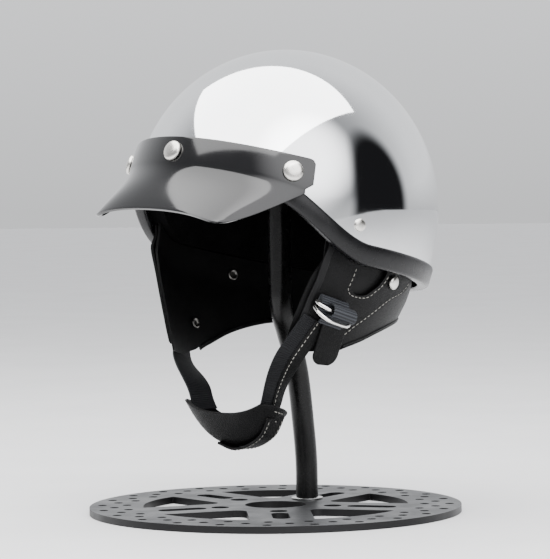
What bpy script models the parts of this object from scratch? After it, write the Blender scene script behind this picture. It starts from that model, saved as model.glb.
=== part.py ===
"""Half helmet on its stand: chrome shell, peaked visor, leather harness and a disc with a bent post.

Units are metres and +Z is up. The origin is the centre of the stand's disc, on the ground.
The helmet faces -Y, and +X is the wearer's left. Each named object is one closed solid.
"""
import math

import bmesh
import bpy
from mathutils import Matrix, Vector

# Clearances between pieces that sit on or in each other, and between layers that bend together.
GAP = 0.0003
LAYER_GAP = 0.0007
SEWN_GAP = 0.0014

# Helmet shell: an egg-shaped dome, a flatter ellipse below its widest level.
SHELL_HALF_WIDTH = 0.1123
SHELL_HALF_LENGTH = 0.1281
SHELL_CROWN_HEIGHT = 0.1250
SHELL_SKIRT_DEPTH = 0.1849
SHELL_WALL = 0.004
SHELL_COLUMNS = 40
SHELL_ROWS = 8

# How the helmet sits on the stand: its widest level, its backward tilt and its sideways lean.
HELMET_HEIGHT = 0.2370
HELMET_BACK = 0.0167
HELMET_TILT = math.radians(11.0)
HELMET_LEAN = math.radians(1.7)

# Lower rim, as heights from the widest level. It drops from the brow to the ears.
RIM_FRONT = -0.002
RIM_SIDE = -0.043
RIM_BACK = -0.046
RIM_DROP_FROM = 36.0
RIM_DROP_TO = 82.0

# Rubber edge trim, a U round the shell's edge.
TRIM_PROUD = 0.0033
TRIM_OUTER_LIP = 0.016
TRIM_INNER_LIP = 0.0088
TRIM_INNER_WALL = 0.0026
TRIM_FLOOR = 0.0037

# Padded liner inside the shell: four pads round the head and one under the crown. The seams
# between them are in degrees round the head and as a share of a row of the shell.
LINER_THICKNESS = 0.020
CROWN_PAD_ROW = 5
PAD_SEAM_ANGLE = 0.5
PAD_SEAM_SHARE = 0.05

# Visor: a strip that follows the brow and a drooping peak below it.
VISOR_WALL = 0.0024
STRIP_HALF_ANGLE = 55.0
PEAK_HALF_ANGLE = 52.5
STRIP_TOP = 0.0335
STRIP_TOP_FALL = 0.0057
STRIP_END_BOTTOM = 0.0085
PEAK_ROOT = 0.0138
PEAK_ROOT_FALL = 0.0095
PEAK_REACH = 0.1482
PEAK_DEPTH = 0.0255
PEAK_CORNER_OUT = 0.0893
PEAK_CORNER_IN = 0.0497
PEAK_CORNER_REACH = 0.1514
PEAK_CORNER_DEPTH = 0.0514
PEAK_COLUMNS = 12

# Snaps and rivets.
SNAP_RADIUS = 0.0079
SNAP_HEIGHT = 0.0043
SNAP_SIDE_ANGLE = 47.4
SNAP_CENTRE_HEIGHT = 0.0219
SNAP_SIDE_HEIGHT = 0.0165
RIVET_RADIUS = 0.005
RIVET_HEIGHT = 0.0024
FRONT_RIVET = (75.4, -0.0139)
REAR_RIVET = (155.6, -0.0078)
HARNESS_SNAP_RADIUS = 0.0056
HARNESS_SNAP_HEIGHT = 0.0036
HARNESS_SNAP = (102.0, -0.0495)
EYELET_RADIUS = 0.0045
EYELET_HEIGHT = 0.0014
UPPER_EYELET = (111.7, -0.0503)
LOWER_EYELET = (87.6, -0.0960)

# Leather: neck curtain, its bound hem and the strapwork over the ears.
LEATHER = 0.002
LEATHER_TUCK = 0.0082
LEATHER_SPREAD = 0.0025
LEATHER_EMERGES = 0.0015
LEATHER_KNEE = 0.012
LEATHER_LEAN = 0.13
LEATHER_LEAN_FROM = -0.038
CURTAIN_FRONT_TOP = 65.5
CURTAIN_FRONT_BOTTOM = 56.5
CURTAIN_DROP = 0.118
CURTAIN_LIFT = 0.005
CURTAIN_COLUMNS = 32
BINDING_RADIUS = 0.0023
BINDING_FROM = 90.0
HARNESS_DROP = 0.069

# Chin strap, its two rings, the loop that holds them and the loose end.
STRAP_WIDTH = 0.022
STRAP_THICKNESS = 0.0026
WEBBING_WIDTH = 0.024
WEBBING_THICKNESS = 0.0018
RING_ANGLE = 73.5
RING_HEIGHT = -0.0755
RING_TURN = 8.0
RING_WIRE = 0.0030
RING_HALF_WIDTH = 0.0158
RING_SPACING = 0.0042
UPPER_RING_REACH = 0.011
UPPER_RING_TILT = 84.0
LOWER_RING_REACH = 0.0165
LOWER_RING_TILT = 76.0
LOOP_WIDTH = 0.025
LOOP_WALL = 0.0018
LOOP_SEWN = 0.006
STRAP_ANGLE = 68.0
STRAP_TURN = 20.0
STRAP_HEIGHT = -0.088
WEBBING_ANGLE = 78.0
WEBBING_TURN = 4.0
TAIL_ANGLE = 77.0
TAIL_TURN = -4.0
TAIL_HEIGHT = -0.0885
TAIL_LENGTH = 0.033
TAIL_LIFT = 0.0040

# Chin cup, a dished leather trough on a loop that the straps are sewn into.
CUP_RADIUS = 0.0496
CUP_CENTRE_HEIGHT = 0.1055
CUP_FORWARD = -0.0430
CUP_HALF_ANGLE = 68.0
CUP_END_SLANT = 6.5
CUP_HALF_WIDTH = 0.0175
CUP_FRONT_CURL = 0.026
CUP_FRONT_END_CURL = 0.007
CUP_BACK_CURL = 0.015
CUP_BACK_END_CURL = 0.0035
CUP_WALL = 0.0024
STRAP_IN_CUP = 0.0083
STRAP_ENTRY_ANGLE = 72.0
STRAP_END_ANGLE = 64.0
STRIP_WIDTH = 0.018
STRIP_THICKNESS = 0.002
STRIP_FROM = -14.0
STRIP_TO = 48.0

# Stand: a drilled disc and a bent round bar with a rounded head under the liner.
DISC_RADIUS = 0.146
DISC_THICKNESS = 0.0055
DISC_SIDES = 64
SPOKES = 5
SPOKE_ANGLE = 28.2
SPOKE_HALF_WIDTH = 0.0245
WINDOW_OUTER = DISC_RADIUS - 0.042
WINDOW_INNER_FILLET = 0.008
WINDOW_OUTER_FILLET = 0.006
BORE_RADIUS = 0.024
SLOT_FROM = 0.058
SLOT_TO = WINDOW_OUTER - 0.007
SLOT_HALF_WIDTH = 0.0067
BOLT_CIRCLE = 0.0462
BOLT_RADIUS = 0.007
DRILL_RADIUS = 0.0036
DRILL_STEPS = 24
DRILL_ANGLE = 10.6
DRILL_INNER = WINDOW_OUTER + 0.013
DRILL_MIDDLE = DISC_RADIUS - 0.0195
DRILL_OUTER = DISC_RADIUS - 0.0095
POST_RADIUS = 0.0088
POST_SIDES = 14
POST_TOP_Y = 0.008
HEAD_RADIUS = 0.030
HEAD_THICKNESS = 0.012
HEAD_CLEARANCE = 0.0009
WASHER_RADIUS = 0.0125
WASHER_THICKNESS = 0.0012

HELMET_POSE = (
    Matrix.Translation((0.0, HELMET_BACK, HELMET_HEIGHT))
    @ Matrix.Rotation(-HELMET_TILT, 4, "X")
    @ Matrix.Rotation(HELMET_LEAN, 4, "Y")
)
LINER_OUTSIDE = -SHELL_WALL - LAYER_GAP - GAP
LINER_INSIDE = LINER_OUTSIDE - LINER_THICKNESS
TRIM_INSIDE = -SHELL_WALL - GAP - TRIM_INNER_WALL
STRIP_MIDDLE = TRIM_PROUD + GAP + VISOR_WALL / 2
HARNESS_OUTSIDE = TRIM_INSIDE - LAYER_GAP
HARNESS_INSIDE = HARNESS_OUTSIDE - LEATHER
CURTAIN_OUTSIDE = HARNESS_INSIDE - SEWN_GAP
CURTAIN_INSIDE = CURTAIN_OUTSIDE - LEATHER


def clear_scene():
    for obj in list(bpy.data.objects):
        bpy.data.objects.remove(obj, do_unlink=True)


def finish(name, colour, roughness, metallic):
    material = bpy.data.materials.new(name)
    material.use_nodes = True
    shader = material.node_tree.nodes["Principled BSDF"]
    shader.inputs["Base Color"].default_value = (*colour, 1.0)
    shader.inputs["Roughness"].default_value = roughness
    shader.inputs["Metallic"].default_value = metallic
    return material


def add_object(name, points, faces, look, sharp=35.0):
    """Make a named object from points and faces, with its faces turned out."""
    mesh = bpy.data.meshes.new(name)
    mesh.from_pydata([tuple(point) for point in points], [], faces)
    work = bmesh.new()
    work.from_mesh(mesh)
    bmesh.ops.recalc_face_normals(work, faces=work.faces)
    work.to_mesh(mesh)
    work.free()
    mesh.shade_smooth()
    mesh.set_sharp_from_angle(angle=math.radians(sharp))
    mesh.materials.append(finish(name, *look))
    obj = bpy.data.objects.new(name, mesh)
    bpy.context.scene.collection.objects.link(obj)
    return obj


def smooth_step(value):
    value = min(1.0, max(0.0, value))
    return value * value * (3.0 - 2.0 * value)


def curve_point(controls, t):
    """Point on a cubic Bezier curve."""
    s = 1.0 - t
    weights = (s * s * s, 3 * s * s * t, 3 * s * t * t, t * t * t)
    return sum((Vector(c) * w for c, w in zip(controls, weights)), Vector((0, 0, 0)))


def between(table, value):
    """Straight-line reading of a two-column table."""
    for (x0, y0), (x1, y1) in zip(table, table[1:]):
        if value <= x1:
            return y0 + (y1 - y0) * (max(value, x0) - x0) / (x1 - x0)
    return table[-1][1]


def grid_faces(rows, columns, wrap=False):
    """Quads of a grid of points, row by row."""
    last = columns if wrap else columns - 1
    faces = []
    for row in range(rows - 1):
        for column in range(last):
            a = row * columns + column
            b = row * columns + (column + 1) % columns
            faces.append((a, b, b + columns, a + columns))
    return faces


def thicken(outer, inner, faces):
    """Close an open sheet that is given by its two matching sides."""
    count = len(outer)
    edges = {(f[i - 1], f[i]) for f in faces for i in range(len(f))}
    closed = list(faces)
    closed += [tuple(count + i for i in reversed(face)) for face in faces]
    closed += [(b, a, a + count, b + count) for a, b in edges if (b, a) not in edges]
    return list(outer) + list(inner), closed


def tube(rings, closed=False):
    """Skin a row of equal rings, capped unless the row closes on itself."""
    sides = len(rings[0])
    points = [point for ring in rings for point in ring]
    faces = grid_faces(len(rings), sides, wrap=True)
    if closed:
        first = (len(rings) - 1) * sides
        for i in range(sides):
            j = (i + 1) % sides
            faces.append((first + i, first + j, j, i))
    else:
        faces.append(tuple(range(sides)))
        faces.append(tuple(range((len(rings) - 1) * sides, len(rings) * sides)))
    return points, faces


def turned(profile, sides, place):
    """Turn rows of (radius, height) round the local +Z of a placing matrix, closed at both ends."""
    rings = []
    for radius, height in profile:
        turns = [math.tau * i / sides for i in range(sides)]
        rings.append([place @ Vector((radius * math.cos(t), radius * math.sin(t), height)) for t in turns])
    return tube(rings)


def frame_at(origin, normal, side):
    """Placing matrix with +Z along the normal and +X near the side direction."""
    z = normal.normalized()
    y = z.cross(side).normalized()
    x = y.cross(z)
    return Matrix.Translation(origin) @ Matrix((x, y, z)).transposed().to_4x4()


def rim_height(angle):
    """Lower edge of the trim at an angle from the front, either side."""
    around = abs(angle) if abs(angle) <= 180.0 else 360.0 - abs(angle)
    drop = smooth_step((around - RIM_DROP_FROM) / (RIM_DROP_TO - RIM_DROP_FROM))
    rear = smooth_step((around - RIM_DROP_TO) / (180.0 - RIM_DROP_TO))
    return RIM_FRONT + (RIM_SIDE - RIM_FRONT) * drop + (RIM_BACK - RIM_SIDE) * rear


def wall_local(angle, height, offset):
    """Point on the shell's outside, moved out by offset, in the helmet's own frame."""
    reach = SHELL_CROWN_HEIGHT + offset if height >= 0.0 else SHELL_SKIRT_DEPTH
    narrow = math.sqrt(max(0.0, 1.0 - (height / reach) ** 2))
    turn = math.radians(angle)
    x = (SHELL_HALF_WIDTH + offset) * math.sin(turn) * narrow
    y = -(SHELL_HALF_LENGTH + offset) * math.cos(turn) * narrow
    return Vector((x, y, height))


def wall(angle, height, offset):
    return HELMET_POSE @ wall_local(angle, height, offset)


def dome(angle, rise, offset):
    """Like wall, with the height as an angle: 0 at the widest level, 90 at the crown."""
    reach = SHELL_CROWN_HEIGHT + offset if rise >= 0.0 else SHELL_SKIRT_DEPTH
    return wall(angle, reach * math.sin(math.radians(rise)), offset)


def rise_of(height, offset):
    reach = SHELL_CROWN_HEIGHT + offset if height >= 0.0 else SHELL_SKIRT_DEPTH
    return math.degrees(math.asin(height / reach))


def helmet_direction(vector):
    return (HELMET_POSE.to_3x3() @ vector).normalized()


def wall_normal(angle, height):
    point = wall_local(angle, height, 0.0)
    reach = SHELL_CROWN_HEIGHT if height >= 0.0 else SHELL_SKIRT_DEPTH
    slope = Vector((point.x / SHELL_HALF_WIDTH ** 2, point.y / SHELL_HALF_LENGTH ** 2, point.z / reach ** 2))
    return helmet_direction(slope)


def hang(angle, height, offset):
    """Point on the hanging leather, which leans in below the rim."""
    lean = LEATHER_LEAN * max(0.0, LEATHER_LEAN_FROM - height)
    return wall(angle, height, offset + LEATHER_SPREAD - lean)


def drape(angle, height, offset):
    """Leather surface: tucked behind the trim, then out to a knee and straight down to the hem."""
    start = rim_height(angle) - LEATHER_EMERGES
    knee = rim_height(angle) - LEATHER_KNEE
    if height >= start:
        return wall(angle, height, offset)
    if height >= knee:
        high, low = wall(angle, start, offset), hang(angle, knee, offset)
        return high + (low - high) * (start - height) / (start - knee)
    hem = hem_height(angle)
    high, low = hang(angle, knee, offset), hang(angle, hem, offset)
    return high + (low - high) * (knee - height) / (knee - hem)


def drape_frame(angle, height, offset):
    """Origin, rearward, downward and outward directions on the leather."""
    origin = drape(angle, height, offset)
    step = 0.5 if angle > 0 else -0.5
    rearward = (drape(angle + step, height, offset) - drape(angle - step, height, offset)).normalized()
    along = drape(angle, height - 0.002, offset) - drape(angle, height + 0.002, offset)
    downward = (along - rearward * along.dot(rearward)).normalized()
    outward = rearward.cross(downward) if angle > 0 else downward.cross(rearward)
    if outward.dot(origin - drape(angle, height, offset - 0.01)) < 0:
        outward = -outward
    return origin, rearward, downward, outward


def bowl_point(angle, row, offset, edge_lift):
    """Row -1 is the edge behind the trim, row 0 the trim's lip, and row SHELL_ROWS the crown."""
    lift = edge_lift if row < 0 else TRIM_OUTER_LIP
    start = rise_of(rim_height(angle) + lift, offset)
    return dome(angle, start + (90.0 - start) * max(row, 0) / SHELL_ROWS, offset)


def bowl(name, offsets, rows, edge_lift, look):
    """Closed cap between two offsets of the shell, from its lowest row to the crown."""
    angles = [360.0 * column / SHELL_COLUMNS for column in range(SHELL_COLUMNS)]
    skins = []
    for offset in offsets:
        skin = [bowl_point(angle, row, offset, edge_lift) for row in rows for angle in angles]
        skins.append(skin + [dome(0.0, 90.0, offset)])
    faces = grid_faces(len(rows), SHELL_COLUMNS, wrap=True)
    crown = len(rows) * SHELL_COLUMNS
    last = crown - SHELL_COLUMNS
    for column in range(SHELL_COLUMNS):
        faces.append((last + column, last + (column + 1) % SHELL_COLUMNS, crown))
    points, closed = thicken(skins[0], skins[1], faces)
    add_object(name, points, closed, look)


def build_shell():
    lift = TRIM_FLOOR + GAP
    bowl("shell", (0.0, -SHELL_WALL), range(-1, SHELL_ROWS), lift, ((0.86, 0.87, 0.88), 0.06, 1.0))


def build_liner():
    cloth = ((0.02, 0.02, 0.022), 0.85, 0.0)
    lift = TRIM_INNER_LIP + 2 * GAP
    offsets = (LINER_OUTSIDE, LINER_INSIDE)
    columns = SHELL_COLUMNS // 4
    half = 45.0 - PAD_SEAM_ANGLE / 2
    rows = list(range(-1, CROWN_PAD_ROW)) + [CROWN_PAD_ROW - PAD_SEAM_SHARE]
    for word, middle in (("front", 0.0), ("left", 90.0), ("rear", 180.0), ("right", 270.0)):
        angles = [middle + half * (2.0 * i / columns - 1.0) for i in range(columns + 1)]
        skins = []
        for offset in offsets:
            skins.append([bowl_point(angle, row, offset, lift) for row in rows for angle in angles])
        points, closed = thicken(skins[0], skins[1], grid_faces(len(rows), columns + 1))
        add_object(f"liner_{word}", points, closed, cloth)
    rows = [CROWN_PAD_ROW + PAD_SEAM_SHARE] + list(range(CROWN_PAD_ROW + 1, SHELL_ROWS))
    bowl("liner_crown", offsets, rows, lift, cloth)


def build_edge_trim():
    """Sweep the trim's U along the rim: columns are the offset from the shell and the height."""
    out = TRIM_PROUD
    back = TRIM_INSIDE
    slot = -SHELL_WALL - GAP
    lip = TRIM_OUTER_LIP
    inner = TRIM_INNER_LIP
    profile = (
        (GAP, lip - 0.0005),
        (0.5 * out, lip),
        (out, lip - 0.0018),
        (out, 0.0030),
        (0.7 * out, 0.0008),
        (-0.2 * out, 0.0),
        (0.6 * back, 0.0),
        (0.9 * back, 0.0008),
        (back, 0.0030),
        (back, inner - 0.0010),
        (back + 0.3 * TRIM_INNER_WALL, inner),
        (slot, inner - 0.0004),
        (slot, TRIM_FLOOR),
        (GAP, TRIM_FLOOR),
    )
    rings = []
    for column in range(SHELL_COLUMNS):
        angle = 360.0 * column / SHELL_COLUMNS
        rings.append([wall(angle, rim_height(angle) + rise, offset) for offset, rise in profile])
    points, faces = tube(rings, closed=True)
    add_object("edge_trim", points, faces, ((0.035, 0.037, 0.04), 0.45, 0.0), sharp=50.0)


def strip_top(angle):
    share = math.sin(math.radians(angle)) / math.sin(math.radians(STRIP_HALF_ANGLE))
    return STRIP_TOP - STRIP_TOP_FALL * share ** 2


def peak_root(angle):
    return PEAK_ROOT - PEAK_ROOT_FALL * abs(angle / PEAK_HALF_ANGLE) ** 3.2


def peak_edge(share):
    """Lower edge of the peak in the helmet's frame; share runs from -1 to 1 across the visor."""
    end = wall_local(PEAK_HALF_ANGLE, peak_root(PEAK_HALF_ANGLE) - 0.003, STRIP_MIDDLE)
    controls = (
        (0.0, -PEAK_REACH, -PEAK_DEPTH),
        (PEAK_CORNER_OUT, -PEAK_REACH, -PEAK_DEPTH),
        (PEAK_CORNER_IN, -PEAK_CORNER_REACH, -PEAK_CORNER_DEPTH),
        end,
    )
    point = curve_point(controls, abs(share))
    return Vector((math.copysign(point.x, share), point.y, point.z))


def peak_point(share, along):
    """Middle of the peak: 0 at its root below the strip, 1 at its lower edge."""
    angle = share * PEAK_HALF_ANGLE
    root = wall_local(angle, peak_root(angle), STRIP_MIDDLE)
    edge = peak_edge(share)
    length = (edge - root).length
    fold = root + Vector((0.0, 0.0, -0.22 * length))
    lead = edge - (edge - root) * 0.45
    return HELMET_POSE @ curve_point((root, fold, lead, edge), along)


def build_visor():
    """Strip and peak as one bent sheet, thickened by a modifier."""
    shares = [i / PEAK_COLUMNS for i in range(-PEAK_COLUMNS, PEAK_COLUMNS + 1)]
    alongs = (0.0, 0.16, 0.34, 0.56, 0.78, 1.0)
    points = []
    for along in alongs:
        points += [peak_point(share, along) for share in shares]
    faces = grid_faces(len(alongs), len(shares))
    strip_rows = 2
    base = len(points)
    for row in range(1, strip_rows + 1):
        for share in shares:
            angle = share * PEAK_HALF_ANGLE
            low = peak_root(angle)
            height = low + (strip_top(angle) - low) * row / strip_rows
            points.append(wall(angle, height, STRIP_MIDDLE))
    width = len(shares)
    levels = [list(range(width))]
    levels += [list(range(base + row * width, base + (row + 1) * width)) for row in range(strip_rows)]
    for lower, upper in zip(levels, levels[1:]):
        for i in range(width - 1):
            faces.append((lower[i + 1], lower[i], upper[i], upper[i + 1]))
    for side, column in ((1, width - 1), (-1, 0)):
        ends = []
        for row in range(strip_rows + 1):
            top = strip_top(STRIP_HALF_ANGLE)
            height = STRIP_END_BOTTOM + (top - STRIP_END_BOTTOM) * row / strip_rows
            ends.append(len(points))
            points.append(wall(side * STRIP_HALF_ANGLE, height, STRIP_MIDDLE))
        for row in range(strip_rows):
            quad = (levels[row][column], ends[row], ends[row + 1], levels[row + 1][column])
            faces.append(quad if side < 0 else quad[::-1])
    visor = add_object("visor", points, faces, ((0.012, 0.012, 0.014), 0.08, 0.0))
    wall_modifier = visor.modifiers.new("wall", "SOLIDIFY")
    wall_modifier.thickness = VISOR_WALL
    wall_modifier.offset = 0.0
    wall_modifier.use_even_offset = True


def dome_profile(radius, height):
    """Low cap with a small rolled edge: columns are radius and height."""
    return (
        (0.86 * radius, 0.0),
        (radius, 0.2 * height),
        (0.97 * radius, 0.45 * height),
        (0.72 * radius, 0.82 * height),
        (0.28 * radius, height),
    )


def cap_on_wall(name, angle, height, offset, radius, tall, look):
    place = frame_at(wall(angle, height, offset), wall_normal(angle, height), Vector((0.0, 0.0, 1.0)))
    points, faces = turned(dome_profile(radius, tall), 10, place)
    add_object(name, points, faces, look)


def build_snaps_and_rivets():
    nickel = ((0.72, 0.71, 0.68), 0.28, 1.0)
    on_strip = STRIP_MIDDLE + VISOR_WALL / 2 + GAP
    cap_on_wall("visor_snap_centre", 0.0, SNAP_CENTRE_HEIGHT, on_strip, SNAP_RADIUS, SNAP_HEIGHT, nickel)
    for side, word in ((1, "left"), (-1, "right")):
        turn = side * SNAP_SIDE_ANGLE
        cap_on_wall(f"visor_snap_{word}", turn, SNAP_SIDE_HEIGHT, on_strip, SNAP_RADIUS, SNAP_HEIGHT, nickel)
        for place, (angle, height) in (("front", FRONT_RIVET), ("rear", REAR_RIVET)):
            name = f"shell_rivet_{place}_{word}"
            cap_on_wall(name, side * angle, height, -GAP, RIVET_RADIUS, RIVET_HEIGHT, nickel)


# Hem of the neck curtain, from the cheek to the nape: the angle from the front, and the drop
# below the widest level as a share of CURTAIN_DROP.
HEM = (
    (56.0, 1.0), (68.0, 1.0), (85.0, 0.95), (92.0, 0.90), (100.0, 0.847), (110.0, 0.771),
    (120.0, 0.708), (132.0, 0.653), (150.0, 0.61), (180.0, 0.593),
)


def hem_height(angle):
    around = abs(angle) if abs(angle) <= 180.0 else 360.0 - abs(angle)
    lift = CURTAIN_LIFT * math.sin(math.radians(angle))
    return lift - CURTAIN_DROP * between(HEM, around)


def curtain_angle(column_share, drop_share):
    """Angle from the front; the curtain runs from cheek to cheek round the back."""
    edge = CURTAIN_FRONT_TOP + (CURTAIN_FRONT_BOTTOM - CURTAIN_FRONT_TOP) * drop_share
    return edge + (360.0 - 2.0 * edge) * column_share


def build_curtain():
    sides = []
    for offset in (CURTAIN_OUTSIDE, CURTAIN_INSIDE):
        skin = []
        for drop, rise in ((0.0, LEATHER_TUCK), (0.0, -LEATHER_EMERGES), (0.15, -LEATHER_KNEE), (1.0, None)):
            for column in range(CURTAIN_COLUMNS + 1):
                angle = curtain_angle(column / CURTAIN_COLUMNS, drop)
                height = hem_height(angle) if rise is None else rim_height(angle) + rise
                skin.append(drape(angle, height, offset))
        sides.append(skin)
    faces = grid_faces(4, CURTAIN_COLUMNS + 1)
    points, closed = thicken(sides[0], sides[1], faces)
    add_object("neck_curtain", points, closed, ((0.02, 0.02, 0.021), 0.55, 0.0))


def build_curtain_binding():
    """Rolled edge that hangs just under the curtain's hem, behind the ears."""
    sections = 26
    rings = []
    middle = (CURTAIN_OUTSIDE + CURTAIN_INSIDE) / 2
    for section in range(sections + 1):
        angle = BINDING_FROM + (360.0 - 2.0 * BINDING_FROM) * section / sections
        ring = []
        for side in range(6):
            turn = math.tau * side / 6
            height = hem_height(angle) - BINDING_RADIUS * (1.08 + math.sin(turn)) - GAP
            ring.append(drape(angle, height, middle + BINDING_RADIUS * math.cos(turn)))
        rings.append(ring)
    points, faces = tube(rings)
    add_object("curtain_binding", points, faces, ((0.018, 0.018, 0.02), 0.5, 0.0))


# Strapwork over one ear. Both tables give the angles from the front of the front edge, both
# sides of the ear gap, and the rear edge. The first is for rows at the tuck, where the leather
# emerges, and at the knee. In the second, each row starts with a drop as a share of HARNESS_DROP.
HARNESS_TOP = (
    (66.2, 82.0, 97.0, 119.0),
    (66.2, 82.0, 97.0, 119.0),
    (64.8, 81.2, 94.0, 113.5),
)
HARNESS_ROWS = (
    (0.27, 64.0, 81.3, 90.6, 108.3),
    (0.33, 63.5, 83.2, 87.6, 105.5),
    (0.50, 62.3, 77.0, 86.0, 99.5),
    (0.70, 61.2, 73.0, 82.0, 92.0),
    (0.84, 60.2, 70.0, 78.0, 87.0),
    (1.00, 60.0, 66.0, 71.0, 76.0),
)


def build_ear_harness(side, word):
    """Outer leather layer: a front arm, a rear arm and the tongue that carries the strap."""
    def outline(row):
        front, gap_front, gap_rear, rear = row
        step = (rear - gap_rear) / 3
        return (front, (front + gap_front) / 2, gap_front, gap_rear, gap_rear + step, rear - step, rear)

    rises = (LEATHER_TUCK, -LEATHER_EMERGES, -LEATHER_KNEE)
    skins = []
    for offset in (HARNESS_OUTSIDE, HARNESS_INSIDE):
        skin = []
        for rise, angles in zip(rises, HARNESS_TOP):
            for angle in outline(angles):
                skin.append(drape(side * angle, rim_height(angle) + rise, offset))
        for share, *angles in HARNESS_ROWS:
            height = RIM_SIDE - (HARNESS_DROP - side * CURTAIN_LIFT) * share
            skin += [drape(side * angle, height, offset) for angle in outline(angles)]
        skins.append(skin)
    rows = len(HARNESS_TOP) + len(HARNESS_ROWS)
    columns = len(outline(HARNESS_TOP[0]))
    gap_rows = 4
    faces = []
    for face in grid_faces(rows, columns):
        row, column = divmod(face[0], columns)
        if column != 2 or row >= gap_rows:
            faces.append(face)
    points, closed = thicken(skins[0], skins[1], faces)
    add_object(f"ear_harness_{word}", points, closed, ((0.022, 0.022, 0.023), 0.5, 0.0))


def build_harness_metal(side, word):
    nickel = ((0.72, 0.71, 0.68), 0.28, 1.0)
    angle, height = HARNESS_SNAP
    origin, rearward, _, outward = drape_frame(side * angle, height, HARNESS_OUTSIDE + GAP)
    place = frame_at(origin, outward, rearward)
    points, faces = turned(dome_profile(HARNESS_SNAP_RADIUS, HARNESS_SNAP_HEIGHT), 10, place)
    add_object(f"harness_snap_{word}", points, faces, nickel)
    for spot, (angle, height) in (("upper", UPPER_EYELET), ("lower", LOWER_EYELET)):
        origin, rearward, _, outward = drape_frame(side * angle, height, CURTAIN_INSIDE)
        place = frame_at(origin - outward * 2 * GAP, -outward, rearward)
        points, faces = turned(dome_profile(EYELET_RADIUS, EYELET_HEIGHT), 10, place)
        add_object(f"eyelet_{spot}_{word}", points, faces, nickel)


class StrapFrame:
    """Flat frame on one ear's leather; a turn swings its downward side towards the front."""

    def __init__(self, side, angle, height, turn):
        self.origin, rearward, downward, self.out = drape_frame(side * angle, height, HARNESS_OUTSIDE)
        swing = math.radians(turn)
        self.down = downward * math.cos(swing) - rearward * math.sin(swing)
        self.rear = rearward * math.cos(swing) + downward * math.sin(swing)

    def run_to(self, height):
        """Distance down the frame to a height in the helmet's frame."""
        to_helmet = HELMET_POSE.inverted()
        fall = (to_helmet.to_3x3() @ self.down).z
        return (height - (to_helmet @ self.origin).z) / fall

    def point(self, rear, down, out):
        return self.origin + self.rear * rear + self.down * down + self.out * out


def ring_frame():
    return StrapFrame(1, RING_ANGLE, RING_HEIGHT, RING_TURN)


def cup_arc(angle, radius, ahead=0.0):
    """Point on a loop under the chin; the angle is from straight down, + to the left."""
    turn = math.radians(angle)
    return Vector((radius * math.sin(turn), CUP_FORWARD - ahead, CUP_CENTRE_HEIGHT - radius * math.cos(turn)))


def band(stations, width, thickness):
    """Flat strap through stations of (inner-face centre, width direction, outward direction)."""
    rings = []
    for centre, across, outward in stations:
        half = across * width / 2
        lift = outward * thickness
        rings.append([centre - half, centre + half, centre + half + lift, centre - half + lift])
    return tube(rings)


def strap_stations(side, frame, leaves, layer, into_cup):
    """Stations from the leather over the ear, down to the chin cup and into its end."""
    stations = []
    start = frame.point(0.0, 0.0, layer)
    run = frame.down * leaves
    for share in (0.0, 0.5, 1.0):
        stations.append((start + run * share, frame.rear, frame.out))
    start += run
    radius = CUP_RADIUS - into_cup
    end = cup_arc(side * STRAP_ENTRY_ANGLE, radius)
    length = (end - start).length
    inward = (cup_arc(side * (STRAP_ENTRY_ANGLE - 1.0), radius) - end).normalized()
    controls = (start, start + frame.down * 0.22 * length, end - inward * 0.3 * length, end)
    steps = 6
    for step in range(1, steps):
        t = step / steps
        tangent = curve_point(controls, t + 0.01) - curve_point(controls, t - 0.01)
        across = frame.rear.lerp(Vector((0.0, 1.0, 0.0)), smooth_step(t))
        outward = across.cross(tangent).normalized()
        if outward.x * side < 0:
            outward = -outward
        across = outward.cross(tangent).normalized()
        if across.y < 0:
            across = -across
        stations.append((curve_point(controls, t), across, outward))
    for angle in (STRAP_ENTRY_ANGLE, (STRAP_ENTRY_ANGLE + STRAP_END_ANGLE) / 2, STRAP_END_ANGLE):
        outward = (cup_arc(side * angle, radius) - cup_arc(side * angle, 0.0)).normalized()
        stations.append((cup_arc(side * angle, radius), Vector((0.0, 1.0, 0.0)), outward))
    return stations


def build_chin_strap():
    black = ((0.016, 0.017, 0.02), 0.6, 0.0)
    frame = StrapFrame(1, STRAP_ANGLE, STRAP_HEIGHT, STRAP_TURN)
    leaves = frame.run_to(hem_height(STRAP_ANGLE))
    stations = strap_stations(1, frame, leaves, LAYER_GAP, STRAP_IN_CUP + STRAP_THICKNESS)
    points, faces = band(stations, STRAP_WIDTH, STRAP_THICKNESS)
    add_object("chin_strap_left", points, faces, black)
    frame = StrapFrame(-1, WEBBING_ANGLE, STRAP_HEIGHT, WEBBING_TURN)
    leaves = frame.run_to(hem_height(-WEBBING_ANGLE) - WEBBING_THICKNESS)
    stations = strap_stations(-1, frame, leaves, LAYER_GAP, STRAP_IN_CUP + WEBBING_THICKNESS)
    points, faces = band(stations, WEBBING_WIDTH, WEBBING_THICKNESS)
    add_object("chin_strap_right", points, faces, black)


def build_strap_tail():
    """Loose end of the strap: it hangs from under the lower ring, over the strap, and is rounded."""
    frame = StrapFrame(1, TAIL_ANGLE, TAIL_HEIGHT, TAIL_TURN)
    rings = []
    for share, wide in ((0.0, 1.0), (0.4, 1.0), (0.75, 1.0), (0.9, 0.9), (0.97, 0.72), (1.0, 0.5)):
        half = STRAP_WIDTH * wide / 2
        down = TAIL_LENGTH * share
        low, high = TAIL_LIFT, TAIL_LIFT + WEBBING_THICKNESS
        rings.append([frame.point(rear, down, out) for rear, out in
                      ((-half, low), (half, low), (half, high), (-half, high))])
    points, faces = tube(rings)
    add_object("strap_tail", points, faces, ((0.012, 0.012, 0.013), 0.5, 0.0))


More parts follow.
